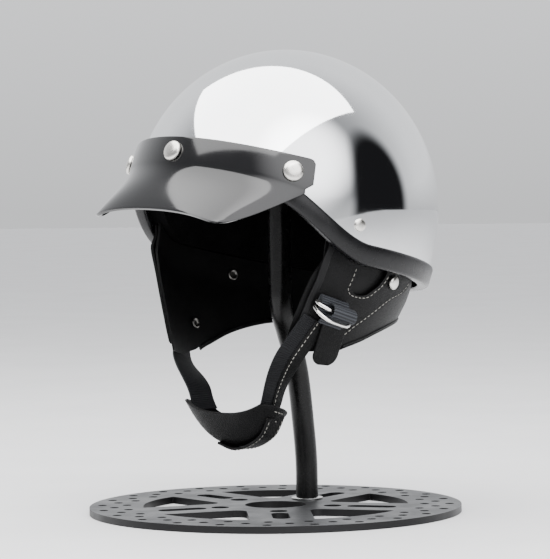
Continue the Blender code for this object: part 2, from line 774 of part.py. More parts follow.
def ring_outline(reach):
    """D shape as (across, reach) pairs: a straight bar and a rounded bow."""
    half = RING_HALF_WIDTH
    straight = LOOP_WIDTH / 2 + 0.6 * RING_WIRE
    bar = ((-straight, 0.0), (0.0, 0.0), (straight, 0.0))
    bow = []
    steps = 12
    for step in range(1, steps):
        turn = math.pi * step / steps
        across = half * math.copysign(abs(math.cos(turn)) ** 0.6, math.cos(turn))
        bow.append((across, reach * math.sin(turn)))
    return bar + tuple(bow)


def ring_bar(order):
    """Middle of a ring's straight bar inside the loop, out and down; order 0 is the upper ring."""
    return GAP + LOOP_WALL + GAP + RING_WIRE / 2, order * RING_SPACING


def build_ring(name, order, reach, tilt):
    frame = ring_frame()
    out, down = ring_bar(order)
    lift = math.radians(tilt)
    bow_way = frame.down * math.cos(lift) + frame.out * math.sin(lift)
    plane = frame.rear.cross(bow_way).normalized()
    outline = ring_outline(reach)
    centres = [frame.point(across, down, out) + bow_way * far for across, far in outline]
    rings = []
    count = len(centres)
    for i, centre in enumerate(centres):
        tangent = (centres[(i + 1) % count] - centres[i - 1]).normalized()
        inward = plane.cross(tangent)
        radius = RING_WIRE / 2
        turns = [math.tau * k / 6 for k in range(6)]
        rings.append([centre + inward * radius * math.cos(t) + plane * radius * math.sin(t) for t in turns])
    points, faces = tube(rings, closed=True)
    add_object(name, points, faces, ((0.78, 0.77, 0.75), 0.18, 1.0))


def build_ring_loop():
    """Folded webbing round both bars, sewn shut above them: an open channel across its width."""
    frame = ring_frame()
    out, down = ring_bar(1)
    slack = RING_WIRE / 2 + GAP
    low, high = out - slack, out + slack
    top, bottom = -slack, down + slack
    skin = LOOP_WALL
    soft = 0.4 * skin
    channel = (
        (top, low + soft), (top, high - soft), (top + soft, high), (bottom - soft, high),
        (bottom, high - soft), (bottom, low + soft), (bottom - soft, low), (top + soft, low),
    )
    cover = (
        (-LOOP_SEWN, low - skin), (-LOOP_SEWN, low + skin), (top - soft, high + 0.9 * skin),
        (bottom - soft, high + skin), (bottom + skin, high - soft), (bottom + skin, low + soft),
        (bottom - soft, low - skin), (top - soft, low - skin),
    )
    skins = []
    for profile in (cover, channel):
        points = []
        for rear in (-LOOP_WIDTH / 2, LOOP_WIDTH / 2):
            points += [frame.point(rear, down_at, out_at) for down_at, out_at in profile]
        skins.append(points)
    points, faces = thicken(skins[0], skins[1], grid_faces(2, len(cover), wrap=True))
    add_object("ring_loop", points, faces, ((0.02, 0.022, 0.026), 0.65, 0.0))


def cup_point(along, across, lift):
    """Middle of the cup's wall; along runs from end to end, across from the back lip to the front."""
    front = across > 0
    middle, end = (CUP_FRONT_CURL, CUP_FRONT_END_CURL) if front else (CUP_BACK_CURL, CUP_BACK_END_CURL)
    curl = (middle + (end - middle) * along ** 2) * across ** 2
    angle = along * (CUP_HALF_ANGLE + CUP_END_SLANT * across)
    return cup_arc(angle, CUP_RADIUS + lift - curl, across * CUP_HALF_WIDTH)


def build_chin_cup():
    """Dished trough: its long edges curl up towards the chin, and its corners are rounded."""
    rows, columns = 15, 9
    points = []
    for row in range(rows):
        along = -1.0 + 2.0 * row / (rows - 1)
        for column in range(columns):
            across = -1.0 + 2.0 * column / (columns - 1)
            ends = 1.0 - 0.08 * across ** 4
            points.append(cup_point(along * ends, across * (1.0 - 0.12 * along ** 6), 0.0))
    cup = add_object("chin_cup", points, grid_faces(rows, columns), ((0.02, 0.02, 0.021), 0.5, 0.0))
    wall_modifier = cup.modifiers.new("wall", "SOLIDIFY")
    wall_modifier.thickness = CUP_WALL
    wall_modifier.offset = 0.0
    wall_modifier.use_even_offset = True


def build_cup_strip():
    """Sewn strip along the underside of the cup."""
    stations = []
    radius = CUP_RADIUS + CUP_WALL / 2 + 2 * GAP
    turns = 8
    for step in range(turns + 1):
        angle = STRIP_FROM + (STRIP_TO - STRIP_FROM) * step / turns
        outward = (cup_arc(angle, radius) - cup_arc(angle, 0.0)).normalized()
        stations.append((cup_arc(angle, radius), Vector((0.0, 1.0, 0.0)), outward))
    points, faces = band(stations, STRIP_WIDTH, STRIP_THICKNESS)
    add_object("cup_strip", points, faces, ((0.02, 0.02, 0.021), 0.5, 0.0))


def circle(centre, radius, sides, start=0.0):
    cx, cy = centre
    turns = [start + math.tau * i / sides for i in range(sides)]
    return [(cx + radius * math.cos(t), cy + radius * math.sin(t)) for t in turns]


def polar(radius, degrees):
    turn = math.radians(degrees)
    return radius * math.cos(turn), radius * math.sin(turn)


def rounded(corners, radii, steps):
    """Fillet the corners of a convex outline; a radius of 0 keeps the corner."""
    outline = []
    for i, (corner, radius) in enumerate(zip(corners, radii)):
        here = Vector(corner)
        back = (Vector(corners[i - 1]) - here).normalized()
        ahead = (Vector(corners[(i + 1) % len(corners)]) - here).normalized()
        half = back.angle(ahead) / 2
        reach = radius / math.tan(half)
        start, end = here + back * reach, here + ahead * reach
        centre = here + (back + ahead).normalized() * radius / math.sin(half)
        for step in range(steps + 1 if radius else 1):
            way = (start - centre).lerp(end - centre, step / steps).normalized()
            outline.append(tuple(centre + way * radius))
    return outline


def window_outline(spoke):
    """Opening between this spoke and the next: sides parallel to both, and an arc outside."""
    first = SPOKE_ANGLE + 360.0 * spoke / SPOKES
    step = 360.0 / SPOKES
    lean = math.degrees(math.asin(SPOKE_HALF_WIDTH / WINDOW_OUTER))
    inner = SPOKE_HALF_WIDTH / math.sin(math.radians(step / 2))
    arc = [polar(WINDOW_OUTER, first + lean + (step - 2 * lean) * i / 3) for i in range(4)]
    corners = [polar(inner, first + step / 2)] + arc
    radii = (WINDOW_INNER_FILLET, WINDOW_OUTER_FILLET, 0.0, 0.0, WINDOW_OUTER_FILLET)
    return rounded(corners, radii, 3)


def slot_outline(spoke):
    angle = SPOKE_ANGLE + 360.0 * spoke / SPOKES
    axis = Vector(polar(1.0, angle))
    across = Vector((-axis.y, axis.x)) * SLOT_HALF_WIDTH
    near, far = axis * SLOT_FROM, axis * SLOT_TO
    corners = (near - across, far - across, far + across, near + across)
    return rounded(corners, (0.95 * SLOT_HALF_WIDTH,) * 4, 2)


def post_spoke():
    """The post stands on the second spoke, on the bolt circle."""
    return 1


def build_stand_base():
    outlines = [circle((0.0, 0.0), DISC_RADIUS, DISC_SIDES), circle((0.0, 0.0), BORE_RADIUS, 24)]
    for spoke in range(SPOKES):
        outlines.append(window_outline(spoke))
        outlines.append(slot_outline(spoke))
        if spoke != post_spoke():
            centre = polar(BOLT_CIRCLE, SPOKE_ANGLE + 360.0 * spoke / SPOKES)
            outlines.append(circle(centre, BOLT_RADIUS, 10))
    for step in range(DRILL_STEPS):
        angle = DRILL_ANGLE + 360.0 * step / DRILL_STEPS
        between_pairs = angle + 180.0 / DRILL_STEPS
        outlines.append(circle(polar(DRILL_INNER, angle), DRILL_RADIUS, 6))
        outlines.append(circle(polar(DRILL_OUTER, angle), DRILL_RADIUS, 6))
        outlines.append(circle(polar(DRILL_MIDDLE, between_pairs), DRILL_RADIUS, 6))
    work = bmesh.new()
    for outline in outlines:
        verts = [work.verts.new((x, y, 0.0)) for x, y in outline]
        for i, vert in enumerate(verts):
            work.edges.new((verts[i - 1], vert))
    bmesh.ops.triangle_fill(work, edges=work.edges[:], use_beauty=True)
    bottom = work.faces[:]
    lifted = bmesh.ops.extrude_face_region(work, geom=bottom)
    top = [item for item in lifted["geom"] if isinstance(item, bmesh.types.BMVert)]
    bmesh.ops.translate(work, vec=(0.0, 0.0, DISC_THICKNESS), verts=top)
    work.verts.index_update()
    points = [vert.co.copy() for vert in work.verts]
    faces = [tuple(vert.index for vert in face.verts) for face in work.faces]
    work.free()
    add_object("stand_base", points, faces, ((0.42, 0.43, 0.43), 0.38, 1.0))


# Bends of the post: share of its height, and share of the way from its foot to its top.
POST_BENDS = (
    (0.0, 0.0), (0.10, 0.02), (0.22, 0.17), (0.31, 0.32), (0.375, 0.51),
    (0.43, 0.73), (0.475, 0.92), (0.52, 1.0), (0.60, 1.0), (1.0, 1.0),
)


def under_liner(across, along):
    """Point of the head that just clears the liner, in the helmet's frame."""
    width = SHELL_HALF_WIDTH + LINER_INSIDE
    length = SHELL_HALF_LENGTH + LINER_INSIDE
    height = SHELL_CROWN_HEIGHT + LINER_INSIDE
    rise = height * math.sqrt(1.0 - (across / width) ** 2 - (along / length) ** 2)
    return Vector((across, along, rise - HEAD_CLEARANCE))


def build_stand_post():
    """Bent round bar, widening at the top into a head that carries the liner's crown."""
    foot_x, foot_y = polar(BOLT_CIRCLE, SPOKE_ANGLE + 360.0 * post_spoke() / SPOKES)
    foot_z = DISC_THICKNESS + WASHER_THICKNESS + 2 * GAP
    to_helmet = HELMET_POSE.inverted()
    axis = to_helmet @ Vector((0.0, POST_TOP_Y, HELMET_HEIGHT + 0.66 * SHELL_CROWN_HEIGHT))
    crown = under_liner(axis.x, axis.y)
    neck = HELMET_POSE @ (crown - Vector((0.0, 0.0, 1.5 * HEAD_THICKNESS)))
    height = neck.z - foot_z
    turns = [math.tau * i / POST_SIDES for i in range(POST_SIDES)]
    centres = []
    for low, high in POST_BENDS:
        x = foot_x + (neck.x - foot_x) * high
        y = foot_y + (neck.y - foot_y) * high
        centres.append(Vector((x, y, foot_z + height * low)))
    rings = []
    for i, centre in enumerate(centres):
        before = centres[max(0, i - 1)]
        after = centres[min(len(centres) - 1, i + 1)]
        tangent = (after - before).normalized() if 0 < i < len(centres) - 1 else Vector((0.0, 0.0, 1.0))
        place = frame_at(centre, tangent, Vector((1.0, 0.0, 0.0)))
        ring = [place @ Vector((POST_RADIUS * math.cos(t), POST_RADIUS * math.sin(t), 0.0)) for t in turns]
        rings.append(ring)
    for wide, drop in ((0.8, 1.0), (1.0, 0.6), (1.0, 0.0), (0.66, 0.0), (0.33, 0.0)):
        radius = HEAD_RADIUS * wide
        ring = [under_liner(crown.x + radius * math.cos(t), crown.y + radius * math.sin(t)) for t in turns]
        lower = Vector((0.0, 0.0, HEAD_THICKNESS * drop))
        rings.append([HELMET_POSE @ (point - lower) for point in ring])
    points, faces = tube(rings)
    add_object("stand_post", points, faces, ((0.012, 0.012, 0.012), 0.4, 0.0))


def build_foot_washer():
    """Plain washer between the post's foot and the disc."""
    foot_x, foot_y = polar(BOLT_CIRCLE, SPOKE_ANGLE + 360.0 * post_spoke() / SPOKES)
    place = Matrix.Translation((foot_x, foot_y, DISC_THICKNESS + GAP))
    profile = ((WASHER_RADIUS, 0.0), (WASHER_RADIUS, WASHER_THICKNESS))
    points, faces = turned(profile, 20, place)
    add_object("foot_washer", points, faces, ((0.6, 0.6, 0.6), 0.3, 1.0))


def main():
    clear_scene()
    build_stand_base()
    build_foot_washer()
    build_stand_post()
    build_shell()
    build_liner()
    build_edge_trim()
    build_visor()
    build_snaps_and_rivets()
    build_curtain()
    build_curtain_binding()
    for side, word in ((1, "left"), (-1, "right")):
        build_ear_harness(side, word)
        build_harness_metal(side, word)
    build_ring_loop()
    build_ring("ring_upper", 0, UPPER_RING_REACH, UPPER_RING_TILT)
    build_ring("ring_lower", 1, LOWER_RING_REACH, LOWER_RING_TILT)
    build_chin_strap()
    build_strap_tail()
    build_chin_cup()
    build_cup_strip()


main()
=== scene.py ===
# %% [markdown]
# # Half helmet on stand
#
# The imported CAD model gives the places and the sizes. This script builds the pieces that are
# seen: the chrome dome, the black visor, the leather behind the ears, the chin strap with its
# two rings, and the drilled disc with its bent post. Units are metres, and +Z is up. The helmet
# faces -Y, and +X is the wearer's left.

# %% Imports and the CAD frame
import math

import bmesh
import bpy
from mathutils import Matrix, Vector


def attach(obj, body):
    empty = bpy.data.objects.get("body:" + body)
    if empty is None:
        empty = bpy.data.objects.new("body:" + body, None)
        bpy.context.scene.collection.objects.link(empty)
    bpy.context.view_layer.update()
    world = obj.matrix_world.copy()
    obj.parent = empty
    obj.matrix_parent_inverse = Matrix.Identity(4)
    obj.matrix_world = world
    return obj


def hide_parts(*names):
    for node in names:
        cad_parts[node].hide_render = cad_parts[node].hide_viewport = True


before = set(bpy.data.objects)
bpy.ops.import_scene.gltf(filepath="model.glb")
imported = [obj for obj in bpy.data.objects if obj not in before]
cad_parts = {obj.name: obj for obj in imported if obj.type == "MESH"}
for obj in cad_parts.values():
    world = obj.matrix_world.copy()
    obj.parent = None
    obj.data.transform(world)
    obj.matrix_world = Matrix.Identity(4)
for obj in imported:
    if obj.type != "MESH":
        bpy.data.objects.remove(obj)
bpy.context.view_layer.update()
print("CAD nodes:", len(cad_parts))

# %% [markdown]
# ## Sizes that repeat the CAD model
#
# The pieces stand exactly where the solids are, so the same numbers and the same formulas for
# the shell's surface, the rim and the leather appear again here.

# %% Sizes of the helmet
GAP = 0.0003
LAYER_GAP = 0.0007
SEWN_GAP = 0.0014

SHELL_HALF_WIDTH = 0.1123
SHELL_HALF_LENGTH = 0.1281
SHELL_CROWN_HEIGHT = 0.1250
SHELL_SKIRT_DEPTH = 0.1849
SHELL_WALL = 0.004
HELMET_POSE = (
    Matrix.Translation((0.0, 0.0167, 0.2370))
    @ Matrix.Rotation(math.radians(-11.0), 4, "X")
    @ Matrix.Rotation(math.radians(1.7), 4, "Y")
)

RIM_FRONT, RIM_SIDE, RIM_BACK = -0.002, -0.043, -0.046
RIM_DROP_FROM, RIM_DROP_TO = 36.0, 82.0
TRIM_PROUD = 0.0033
TRIM_OUTER_LIP = 0.016
TRIM_INNER_LIP = 0.0088
TRIM_INNER_WALL = 0.0026
TRIM_FLOOR = 0.0037
LINER_OUTSIDE = -SHELL_WALL - LAYER_GAP - GAP
LINER_INSIDE = LINER_OUTSIDE - 0.020
TRIM_INSIDE = -SHELL_WALL - GAP - TRIM_INNER_WALL

VISOR_WALL = 0.0024
STRIP_TOP, STRIP_TOP_FALL, STRIP_END_BOTTOM = 0.0335, 0.0057, 0.0085
PEAK_ROOT, PEAK_ROOT_FALL = 0.0138, 0.0095
PEAK_TIP = (0.0, -0.1482, -0.0255)
PEAK_CORNERS = (0.0893, -0.1482, -0.0255), (0.0497, -0.1514, -0.0514)
SNAP_RADIUS, SNAP_HEIGHT = 0.0079, 0.0043
RIVET_RADIUS, RIVET_HEIGHT = 0.005, 0.0024
STRIP_MIDDLE = TRIM_PROUD + GAP + VISOR_WALL / 2
STRIP_HALF_ANGLE = 55.0
PEAK_HALF_ANGLE = 52.5

LEATHER = 0.002
HARNESS_OUTSIDE = TRIM_INSIDE - LAYER_GAP
HARNESS_INSIDE = HARNESS_OUTSIDE - LEATHER
CURTAIN_OUTSIDE = HARNESS_INSIDE - SEWN_GAP
CURTAIN_INSIDE = CURTAIN_OUTSIDE - LEATHER
LEATHER_TUCK = 0.0082
LEATHER_EMERGES = 0.0015
LEATHER_KNEE = 0.012
HARNESS_DROP = 0.069
CURTAIN_DROP = 0.118
CURTAIN_LIFT = 0.005
LEATHER_SPREAD, LEATHER_LEAN, LEATHER_LEAN_FROM = 0.0025, 0.13, -0.038
BINDING_RADIUS = 0.0023

# %% Sizes of the strap, the cup and the stand
STRAP_WIDTH, STRAP_THICKNESS = 0.022, 0.0026
WEBBING_WIDTH, WEBBING_THICKNESS = 0.024, 0.0018
RING_WIRE = 0.0030
RING_HALF_WIDTH = 0.0158
RING_SPACING = 0.0042
LOOP_WIDTH, LOOP_WALL, LOOP_SEWN = 0.025, 0.0018, 0.006
TAIL_LENGTH, TAIL_LIFT = 0.033, 0.0040
STRAP_AT = (68.0, -0.088, 20.0)  # angle from the front, height and turn
WEBBING_AT = (78.0, -0.088, 4.0)
TAIL_AT = (77.0, -0.0885, -4.0)
RINGS_AT = (73.5, -0.0755, 8.0)
RINGS = (("upper", 0, 0.011, 84.0), ("lower", 1, 0.0165, 76.0))  # name, order, reach and tilt

CUP_RADIUS = 0.0496
CUP_CENTRE_HEIGHT = 0.1055
CUP_FORWARD = -0.0430
CUP_HALF_ANGLE = 68.0
CUP_HALF_WIDTH = 0.0175
CUP_WALL = 0.0024
STRAP_IN_CUP = 0.0083

DISC_RADIUS, DISC_THICKNESS = 0.146, 0.0055
SPOKES, SPOKE_ANGLE, SPOKE_HALF_WIDTH = 5, 28.2, 0.0245
BORE_RADIUS, BOLT_CIRCLE, BOLT_HOLE, DRILLED_HOLE = 0.024, 0.0462, 0.007, 0.0036
WINDOW_OUTER, WINDOW_ROOT, WINDOW_CORNER = 0.104, 0.008, 0.0006
SLOT_FROM, SLOT_TO, SLOT_HALF_WIDTH, SLOT_CORNER = 0.058, 0.097, 0.0067, 0.0064
DRILLED_INNER, DRILLED_MIDDLE, DRILLED_OUTER, DRILLED_COUNT = 0.117, 0.1265, 0.1365, 24
POST_SPOKE = 1
POST_RADIUS = 0.0088
HEAD_RADIUS, HEAD_THICKNESS = 0.030, 0.012
WASHER_THICKNESS = 0.0012


# %% [markdown]
# ## Small tools
#
# One function makes a piece from points and faces, attaches it to the frame, hides the solid
# that it stands for and names the material slot. The others make rows of points.

# %% Making a piece
def add_piece(name, points, faces, material, nodes=(), sharp=40.0, flat=None):
    """Object from points and faces; flat gives each point its place on the flat material."""
    mesh = bpy.data.meshes.new(name)
    mesh.from_pydata([tuple(point) for point in points], [], faces)
    work = bmesh.new()
    work.from_mesh(mesh)
    bmesh.ops.recalc_face_normals(work, faces=work.faces)
    work.to_mesh(mesh)
    work.free()
    mesh.shade_smooth()
    mesh.set_sharp_from_angle(angle=math.radians(sharp))
    if flat is not None:
        layer = mesh.uv_layers.new(name="flat")
        for loop in mesh.loops:
            layer.data[loop.index].uv = flat[loop.vertex_index]
    mesh.materials.append(material)
    obj = bpy.data.objects.new(name, mesh)
    bpy.context.scene.collection.objects.link(obj)
    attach(obj, "root")
    if nodes:
        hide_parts(*nodes)
    return obj


def grid_faces(rows, columns, wrap=False):
    """Quads of a grid of points, row by row."""
    last = columns if wrap else columns - 1
    faces = []
    for row in range(rows - 1):
        for column in range(last):
            a, b = row * columns + column, row * columns + (column + 1) % columns
            faces.append((a, b, b + columns, a + columns))
    return faces


def thicken(outer, inner, faces):
    """Close an open sheet that is given by its two matching sides."""
    count = len(outer)
    edges = {(f[i - 1], f[i]) for f in faces for i in range(len(f))}
    closed = list(faces)
    closed += [tuple(count + i for i in reversed(face)) for face in faces]
    closed += [(b, a, a + count, b + count) for a, b in edges if (b, a) not in edges]
    return list(outer) + list(inner), closed


def tube(rings, closed=False):
    """Skin a row of equal rings, capped unless the row closes on itself."""
    sides = len(rings[0])
    points = [point for ring in rings for point in ring]
    faces = grid_faces(len(rings), sides, wrap=True)
    if closed:
        first = (len(rings) - 1) * sides
        for i in range(sides):
            j = (i + 1) % sides
            faces.append((first + i, first + j, j, i))
    else:
        faces.append(tuple(range(sides)))
        faces.append(tuple(range((len(rings) - 1) * sides, len(rings) * sides)))
    return points, faces


def frame_at(origin, normal, side):
    """Placing matrix with +Z along the normal and +X near the side direction."""
    z = normal.normalized()
    y = z.cross(side).normalized()
    return Matrix.Translation(origin) @ Matrix((y.cross(z), y, z)).transposed().to_4x4()


def turned(profile, sides, place):
    """Turn rows of (radius, height) round the local +Z of a placing matrix."""
    turns = [math.tau * i / sides for i in range(sides)]
    rings = []
    for radius, height in profile:
        rings.append([place @ Vector((radius * math.cos(t), radius * math.sin(t), height)) for t in turns])
    return tube(rings)


def thick_sheet(obj, thickness, edge):
    """Give an open sheet its thickness, and soft edges of the given width."""
    solid = obj.modifiers.new("wall", "SOLIDIFY")
    solid.thickness, solid.offset, solid.use_even_offset = thickness, 0.0, True
    soften(obj, edge, 3, 50.0)


def soften(obj, edge, segments, sharp):
    soft_edge = obj.modifiers.new("soft_edge", "BEVEL")
    soft_edge.width, soft_edge.segments, soft_edge.limit_method = edge, segments, "ANGLE"
    soft_edge.angle_limit = math.radians(sharp)
    return soft_edge


# %% Curves and tables
def smooth_step(value):
    value = min(1.0, max(0.0, value))
    return value * value * (3.0 - 2.0 * value)


def curve_point(controls, t):
    """Point on a cubic Bezier curve."""
    s = 1.0 - t
    weights = (s * s * s, 3 * s * s * t, 3 * s * t * t, t * t * t)
    return sum((Vector(c) * w for c, w in zip(controls, weights)), Vector((0, 0, 0)))


def reading(table, value):
    """Smooth reading of a two-column table, exact in its rows."""
    last = len(table) - 1
    slopes = []
    for i in range(last + 1):
        low, high = table[max(i - 1, 0)], table[min(i + 1, last)]
        slopes.append((high[1] - low[1]) / (high[0] - low[0]))
    value = min(table[last][0], max(table[0][0], value))
    for i in range(last):
        (x0, y0), (x1, y1) = table[i], table[i + 1]
        if value <= x1:
            width = x1 - x0
            t = (value - x0) / width
            bend = (y1 - y0) * t * t * (3 - 2 * t)
            lean = slopes[i] * width * t * (1 - t) ** 2 - slopes[i + 1] * width * t * t * (1 - t)
            return y0 + bend + lean
    return table[last][1]


def through(points, count):
    """Evenly shared points on a smooth line through the given ones."""
    shares = [i / (len(points) - 1) for i in range(len(points))]
    tables = [[(share, point[axis]) for share, point in zip(shares, points)] for axis in range(3)]
    return [Vector([reading(table, i / (count - 1)) for table in tables]) for i in range(count)]


# %% [markdown]
# The shell is an egg shape, flatter below its widest level. Every part of the helmet is placed
# by an angle from the front, a height from the widest level and an offset from the shell.

# %% The shell's surface and the hanging leather
def rim_height(angle):
    around = abs(angle) if abs(angle) <= 180.0 else 360.0 - abs(angle)
    drop = smooth_step((around - RIM_DROP_FROM) / (RIM_DROP_TO - RIM_DROP_FROM))
    rear = smooth_step((around - RIM_DROP_TO) / (180.0 - RIM_DROP_TO))
    return RIM_FRONT + (RIM_SIDE - RIM_FRONT) * drop + (RIM_BACK - RIM_SIDE) * rear


def wall_local(angle, height, offset):
    reach = SHELL_CROWN_HEIGHT + offset if height >= 0.0 else SHELL_SKIRT_DEPTH
    narrow = math.sqrt(max(0.0, 1.0 - (height / reach) ** 2))
    turn = math.radians(angle)
    x = (SHELL_HALF_WIDTH + offset) * math.sin(turn) * narrow
    y = -(SHELL_HALF_LENGTH + offset) * math.cos(turn) * narrow
    return Vector((x, y, height))


def wall(angle, height, offset):
    return HELMET_POSE @ wall_local(angle, height, offset)


def wall_normal(angle, height):
    point = wall_local(angle, height, 0.0)
    reach = SHELL_CROWN_HEIGHT if height >= 0.0 else SHELL_SKIRT_DEPTH
    slope = Vector((point.x / SHELL_HALF_WIDTH ** 2, point.y / SHELL_HALF_LENGTH ** 2, point.z / reach ** 2))
    return (HELMET_POSE.to_3x3() @ slope).normalized()


def hang(angle, height, offset):
    lean = LEATHER_LEAN * max(0.0, LEATHER_LEAN_FROM - height)
    return wall(angle, height, offset + LEATHER_SPREAD - lean)


# Hem of the neck curtain: the angle from the front, and the drop as a share of CURTAIN_DROP.
HEM = (
    (56.0, 1.0), (68.0, 1.0), (85.0, 0.95), (92.0, 0.90), (100.0, 0.847), (110.0, 0.771),
    (120.0, 0.708), (132.0, 0.653), (150.0, 0.61), (180.0, 0.593),
)


def hem_height(angle):
    around = abs(angle) if abs(angle) <= 180.0 else 360.0 - abs(angle)
    return CURTAIN_LIFT * math.sin(math.radians(angle)) - CURTAIN_DROP * reading(HEM, around)


def drape_once(angle, height, offset):
    start = rim_height(angle) - LEATHER_EMERGES
    knee = rim_height(angle) - LEATHER_KNEE
    if height >= start:
        return wall(angle, height, offset)
    if height >= knee:
        high, low = wall(angle, start, offset), hang(angle, knee, offset)
        return high + (low - high) * (start - height) / (start - knee)
    hem = hem_height(angle)
    high, low = hang(angle, knee, offset), hang(angle, hem, offset)
    return high + (low - high) * (knee - height) / (knee - hem)


def drape(angle, height, offset):
    """Leather surface: tucked behind the trim, then out to a soft knee and down to the hem."""
    if height > rim_height(angle) - 0.5 * LEATHER_KNEE:
        return drape_once(angle, height, offset)
    steps = (-0.004, -0.002, 0.0, 0.002, 0.004)
    return sum((drape_once(angle, height + s, offset) for s in steps), Vector((0, 0, 0))) / len(steps)


def drape_frame(angle, height, offset):
    """Origin, rearward, downward and outward directions on the leather."""
    origin = drape(angle, height, offset)
    step = 0.5 if angle > 0 else -0.5
    rearward = (drape(angle + step, height, offset) - drape(angle - step, height, offset)).normalized()
    along = drape(angle, height - 0.002, offset) - drape(angle, height + 0.002, offset)
    downward = (along - rearward * along.dot(rearward)).normalized()
    outward = rearward.cross(downward) if angle > 0 else downward.cross(rearward)
    if outward.dot(origin - drape(angle, height, offset - 0.01)) < 0:
        outward = -outward
    return origin, rearward, downward, outward


class StrapFrame:
    """Flat frame on one ear's leather; a turn swings its downward side towards the front."""

    def __init__(self, side, angle, height, turn):
        self.origin, rearward, downward, self.out = drape_frame(side * angle, height, HARNESS_OUTSIDE)
        swing = math.radians(turn)
        self.down = downward * math.cos(swing) - rearward * math.sin(swing)
        self.rear = rearward * math.cos(swing) + downward * math.sin(swing)

    def run_to(self, height):
        to_helmet = HELMET_POSE.inverted()
        return (height - (to_helmet @ self.origin).z) / (to_helmet.to_3x3() @ self.down).z

    def point(self, rear, down, out):
        return self.origin + self.rear * rear + self.down * down + self.out * out


# %% [markdown]
# ## Materials
#
# Three node groups are shared. `handled` gives the cloudy traces of hands and cloths and a fine
# ripple. `grain` gives the cells and creases of leather. `ribs` gives the cross ribs of webbing
# from the flat coordinates of a strap, with painted shade in their valleys and painted highlight
# on their tops.

# %% Node groups
def new_group(name, inputs, outputs):
    group = bpy.data.node_groups.new(name, "ShaderNodeTree")
    for socket, kind, value in inputs:
        made = group.interface.new_socket(socket, in_out="INPUT", socket_type=kind)
        if value is not None:
            made.default_value = value
    for socket, kind in outputs:
        group.interface.new_socket(socket, in_out="OUTPUT", socket_type=kind)
    return group, group.nodes.new("NodeGroupInput"), group.nodes.new("NodeGroupOutput")


def node(tree, kind, **settings):
    """Node whose inputs are set by name, or by number as i0; a value may be another node's socket."""
    made = tree.nodes.new("ShaderNode" + kind)
    for key, value in settings.items():
        if hasattr(made, key):
            setattr(made, key, value)
            continue
        socket = made.inputs[int(key[1:]) if key[1:].isdigit() else key.replace("_", " ")]
        if isinstance(value, bpy.types.NodeSocket):
            tree.links.new(value, socket)
        else:
            socket.default_value = value
    return made


def spread(tree, value, low, high, to_low, to_high):
    made = node(tree, "MapRange", i0=value, i1=low, i2=high, i3=to_low, i4=to_high)
    return made.outputs[0]


FLOAT, VECTOR = "NodeSocketFloat", "NodeSocketVector"

handled, gin, gout = new_group(
    "handled", (("Scale", FLOAT, 30.0), ("Ripple", FLOAT, 0.05)), (("Trace", FLOAT), ("Normal", VECTOR)))
place = node(handled, "TexCoord").outputs["Object"]
cloud = node(handled, "TexNoise", Vector=place, Scale=gin.outputs["Scale"], Detail=6.0, Roughness=0.6)
handled.links.new(spread(handled, cloud.outputs["Fac"], 0.35, 0.75, 0.0, 1.0), gout.inputs["Trace"])
fine = node(handled, "TexNoise", Vector=place, Scale=900.0, Detail=3.0)
bump = node(handled, "Bump", Strength=gin.outputs["Ripple"], Distance=0.0004, Height=fine.outputs["Fac"])
handled.links.new(bump.outputs["Normal"], gout.inputs["Normal"])

grain, gin, gout = new_group(
    "grain", (("Cells", FLOAT, 700.0), ("Depth", FLOAT, 0.5)),
    (("Tone", FLOAT), ("Crease", FLOAT), ("Normal", VECTOR)))
place = node(grain, "TexCoord").outputs["Object"]
warp = node(grain, "TexNoise", Vector=place, Scale=240.0, Detail=2.0)
moved = node(grain, "VectorMath", operation="MULTIPLY_ADD",
             i0=warp.outputs["Color"], i1=(0.0012,) * 3, i2=place)
cells = node(grain, "TexVoronoi", feature="DISTANCE_TO_EDGE",
             Vector=moved.outputs[0], Scale=gin.outputs["Cells"])
edge = spread(grain, cells.outputs["Distance"], 0.0, 0.22, 0.0, 1.0)
broad = node(grain, "TexNoise", Vector=place, Scale=45.0, Detail=5.0, Roughness=0.65)
grain.links.new(spread(grain, broad.outputs["Fac"], 0.3, 0.7, 0.0, 1.0), gout.inputs["Tone"])
grain.links.new(edge, gout.inputs["Crease"])
height = node(grain, "Math", operation="MULTIPLY_ADD", i0=broad.outputs["Fac"], i1=1.4, i2=edge)
bump = node(grain, "Bump", Strength=gin.outputs["Depth"], Distance=0.00025, Height=height.outputs[0])
grain.links.new(bump.outputs["Normal"], gout.inputs["Normal"])

ribs, gin, gout = new_group(
    "ribs", (("Pitch", FLOAT, 0.0016), ("Depth", FLOAT, 0.8)),
    (("RibShading", FLOAT), ("Fuzz", FLOAT), ("Normal", VECTOR)))
flat = node(ribs, "UVMap", uv_map="flat").outputs["UV"]
sides = node(ribs, "SeparateXYZ", Vector=flat)
turns = node(ribs, "Math", operation="DIVIDE", i0=sides.outputs["Y"], i1=gin.outputs["Pitch"])
across = node(ribs, "Math", operation="DIVIDE", i0=sides.outputs["X"], i1=gin.outputs["Pitch"])
shift = node(ribs, "Math", operation="PINGPONG", i0=across.outputs[0], i1=0.5)
twill = node(ribs, "Math", operation="MULTIPLY_ADD", i0=shift.outputs[0], i1=0.35, i2=turns.outputs[0])
rib = node(ribs, "Math", operation="PINGPONG", i0=twill.outputs[0], i1=0.5)
tall = spread(ribs, rib.outputs[0], 0.0, 0.5, 0.0, 1.0)
hair = node(ribs, "TexNoise", Vector=flat, Scale=2600.0, Detail=3.0)
whole = node(ribs, "Math", operation="MULTIPLY_ADD", i0=hair.outputs["Fac"], i1=0.35, i2=tall)
# The rib height is also the colour mask: painted shade in the valleys, painted highlight on the tops.
ribs.links.new(tall, gout.inputs["RibShading"])
ribs.links.new(hair.outputs["Fac"], gout.inputs["Fuzz"])
bump = node(ribs, "Bump", Strength=gin.outputs["Depth"], Distance=0.0004, Height=whole.outputs[0])
ribs.links.new(bump.outputs["Normal"], gout.inputs["Normal"])
print("node groups:", [group.name for group in bpy.data.node_groups])


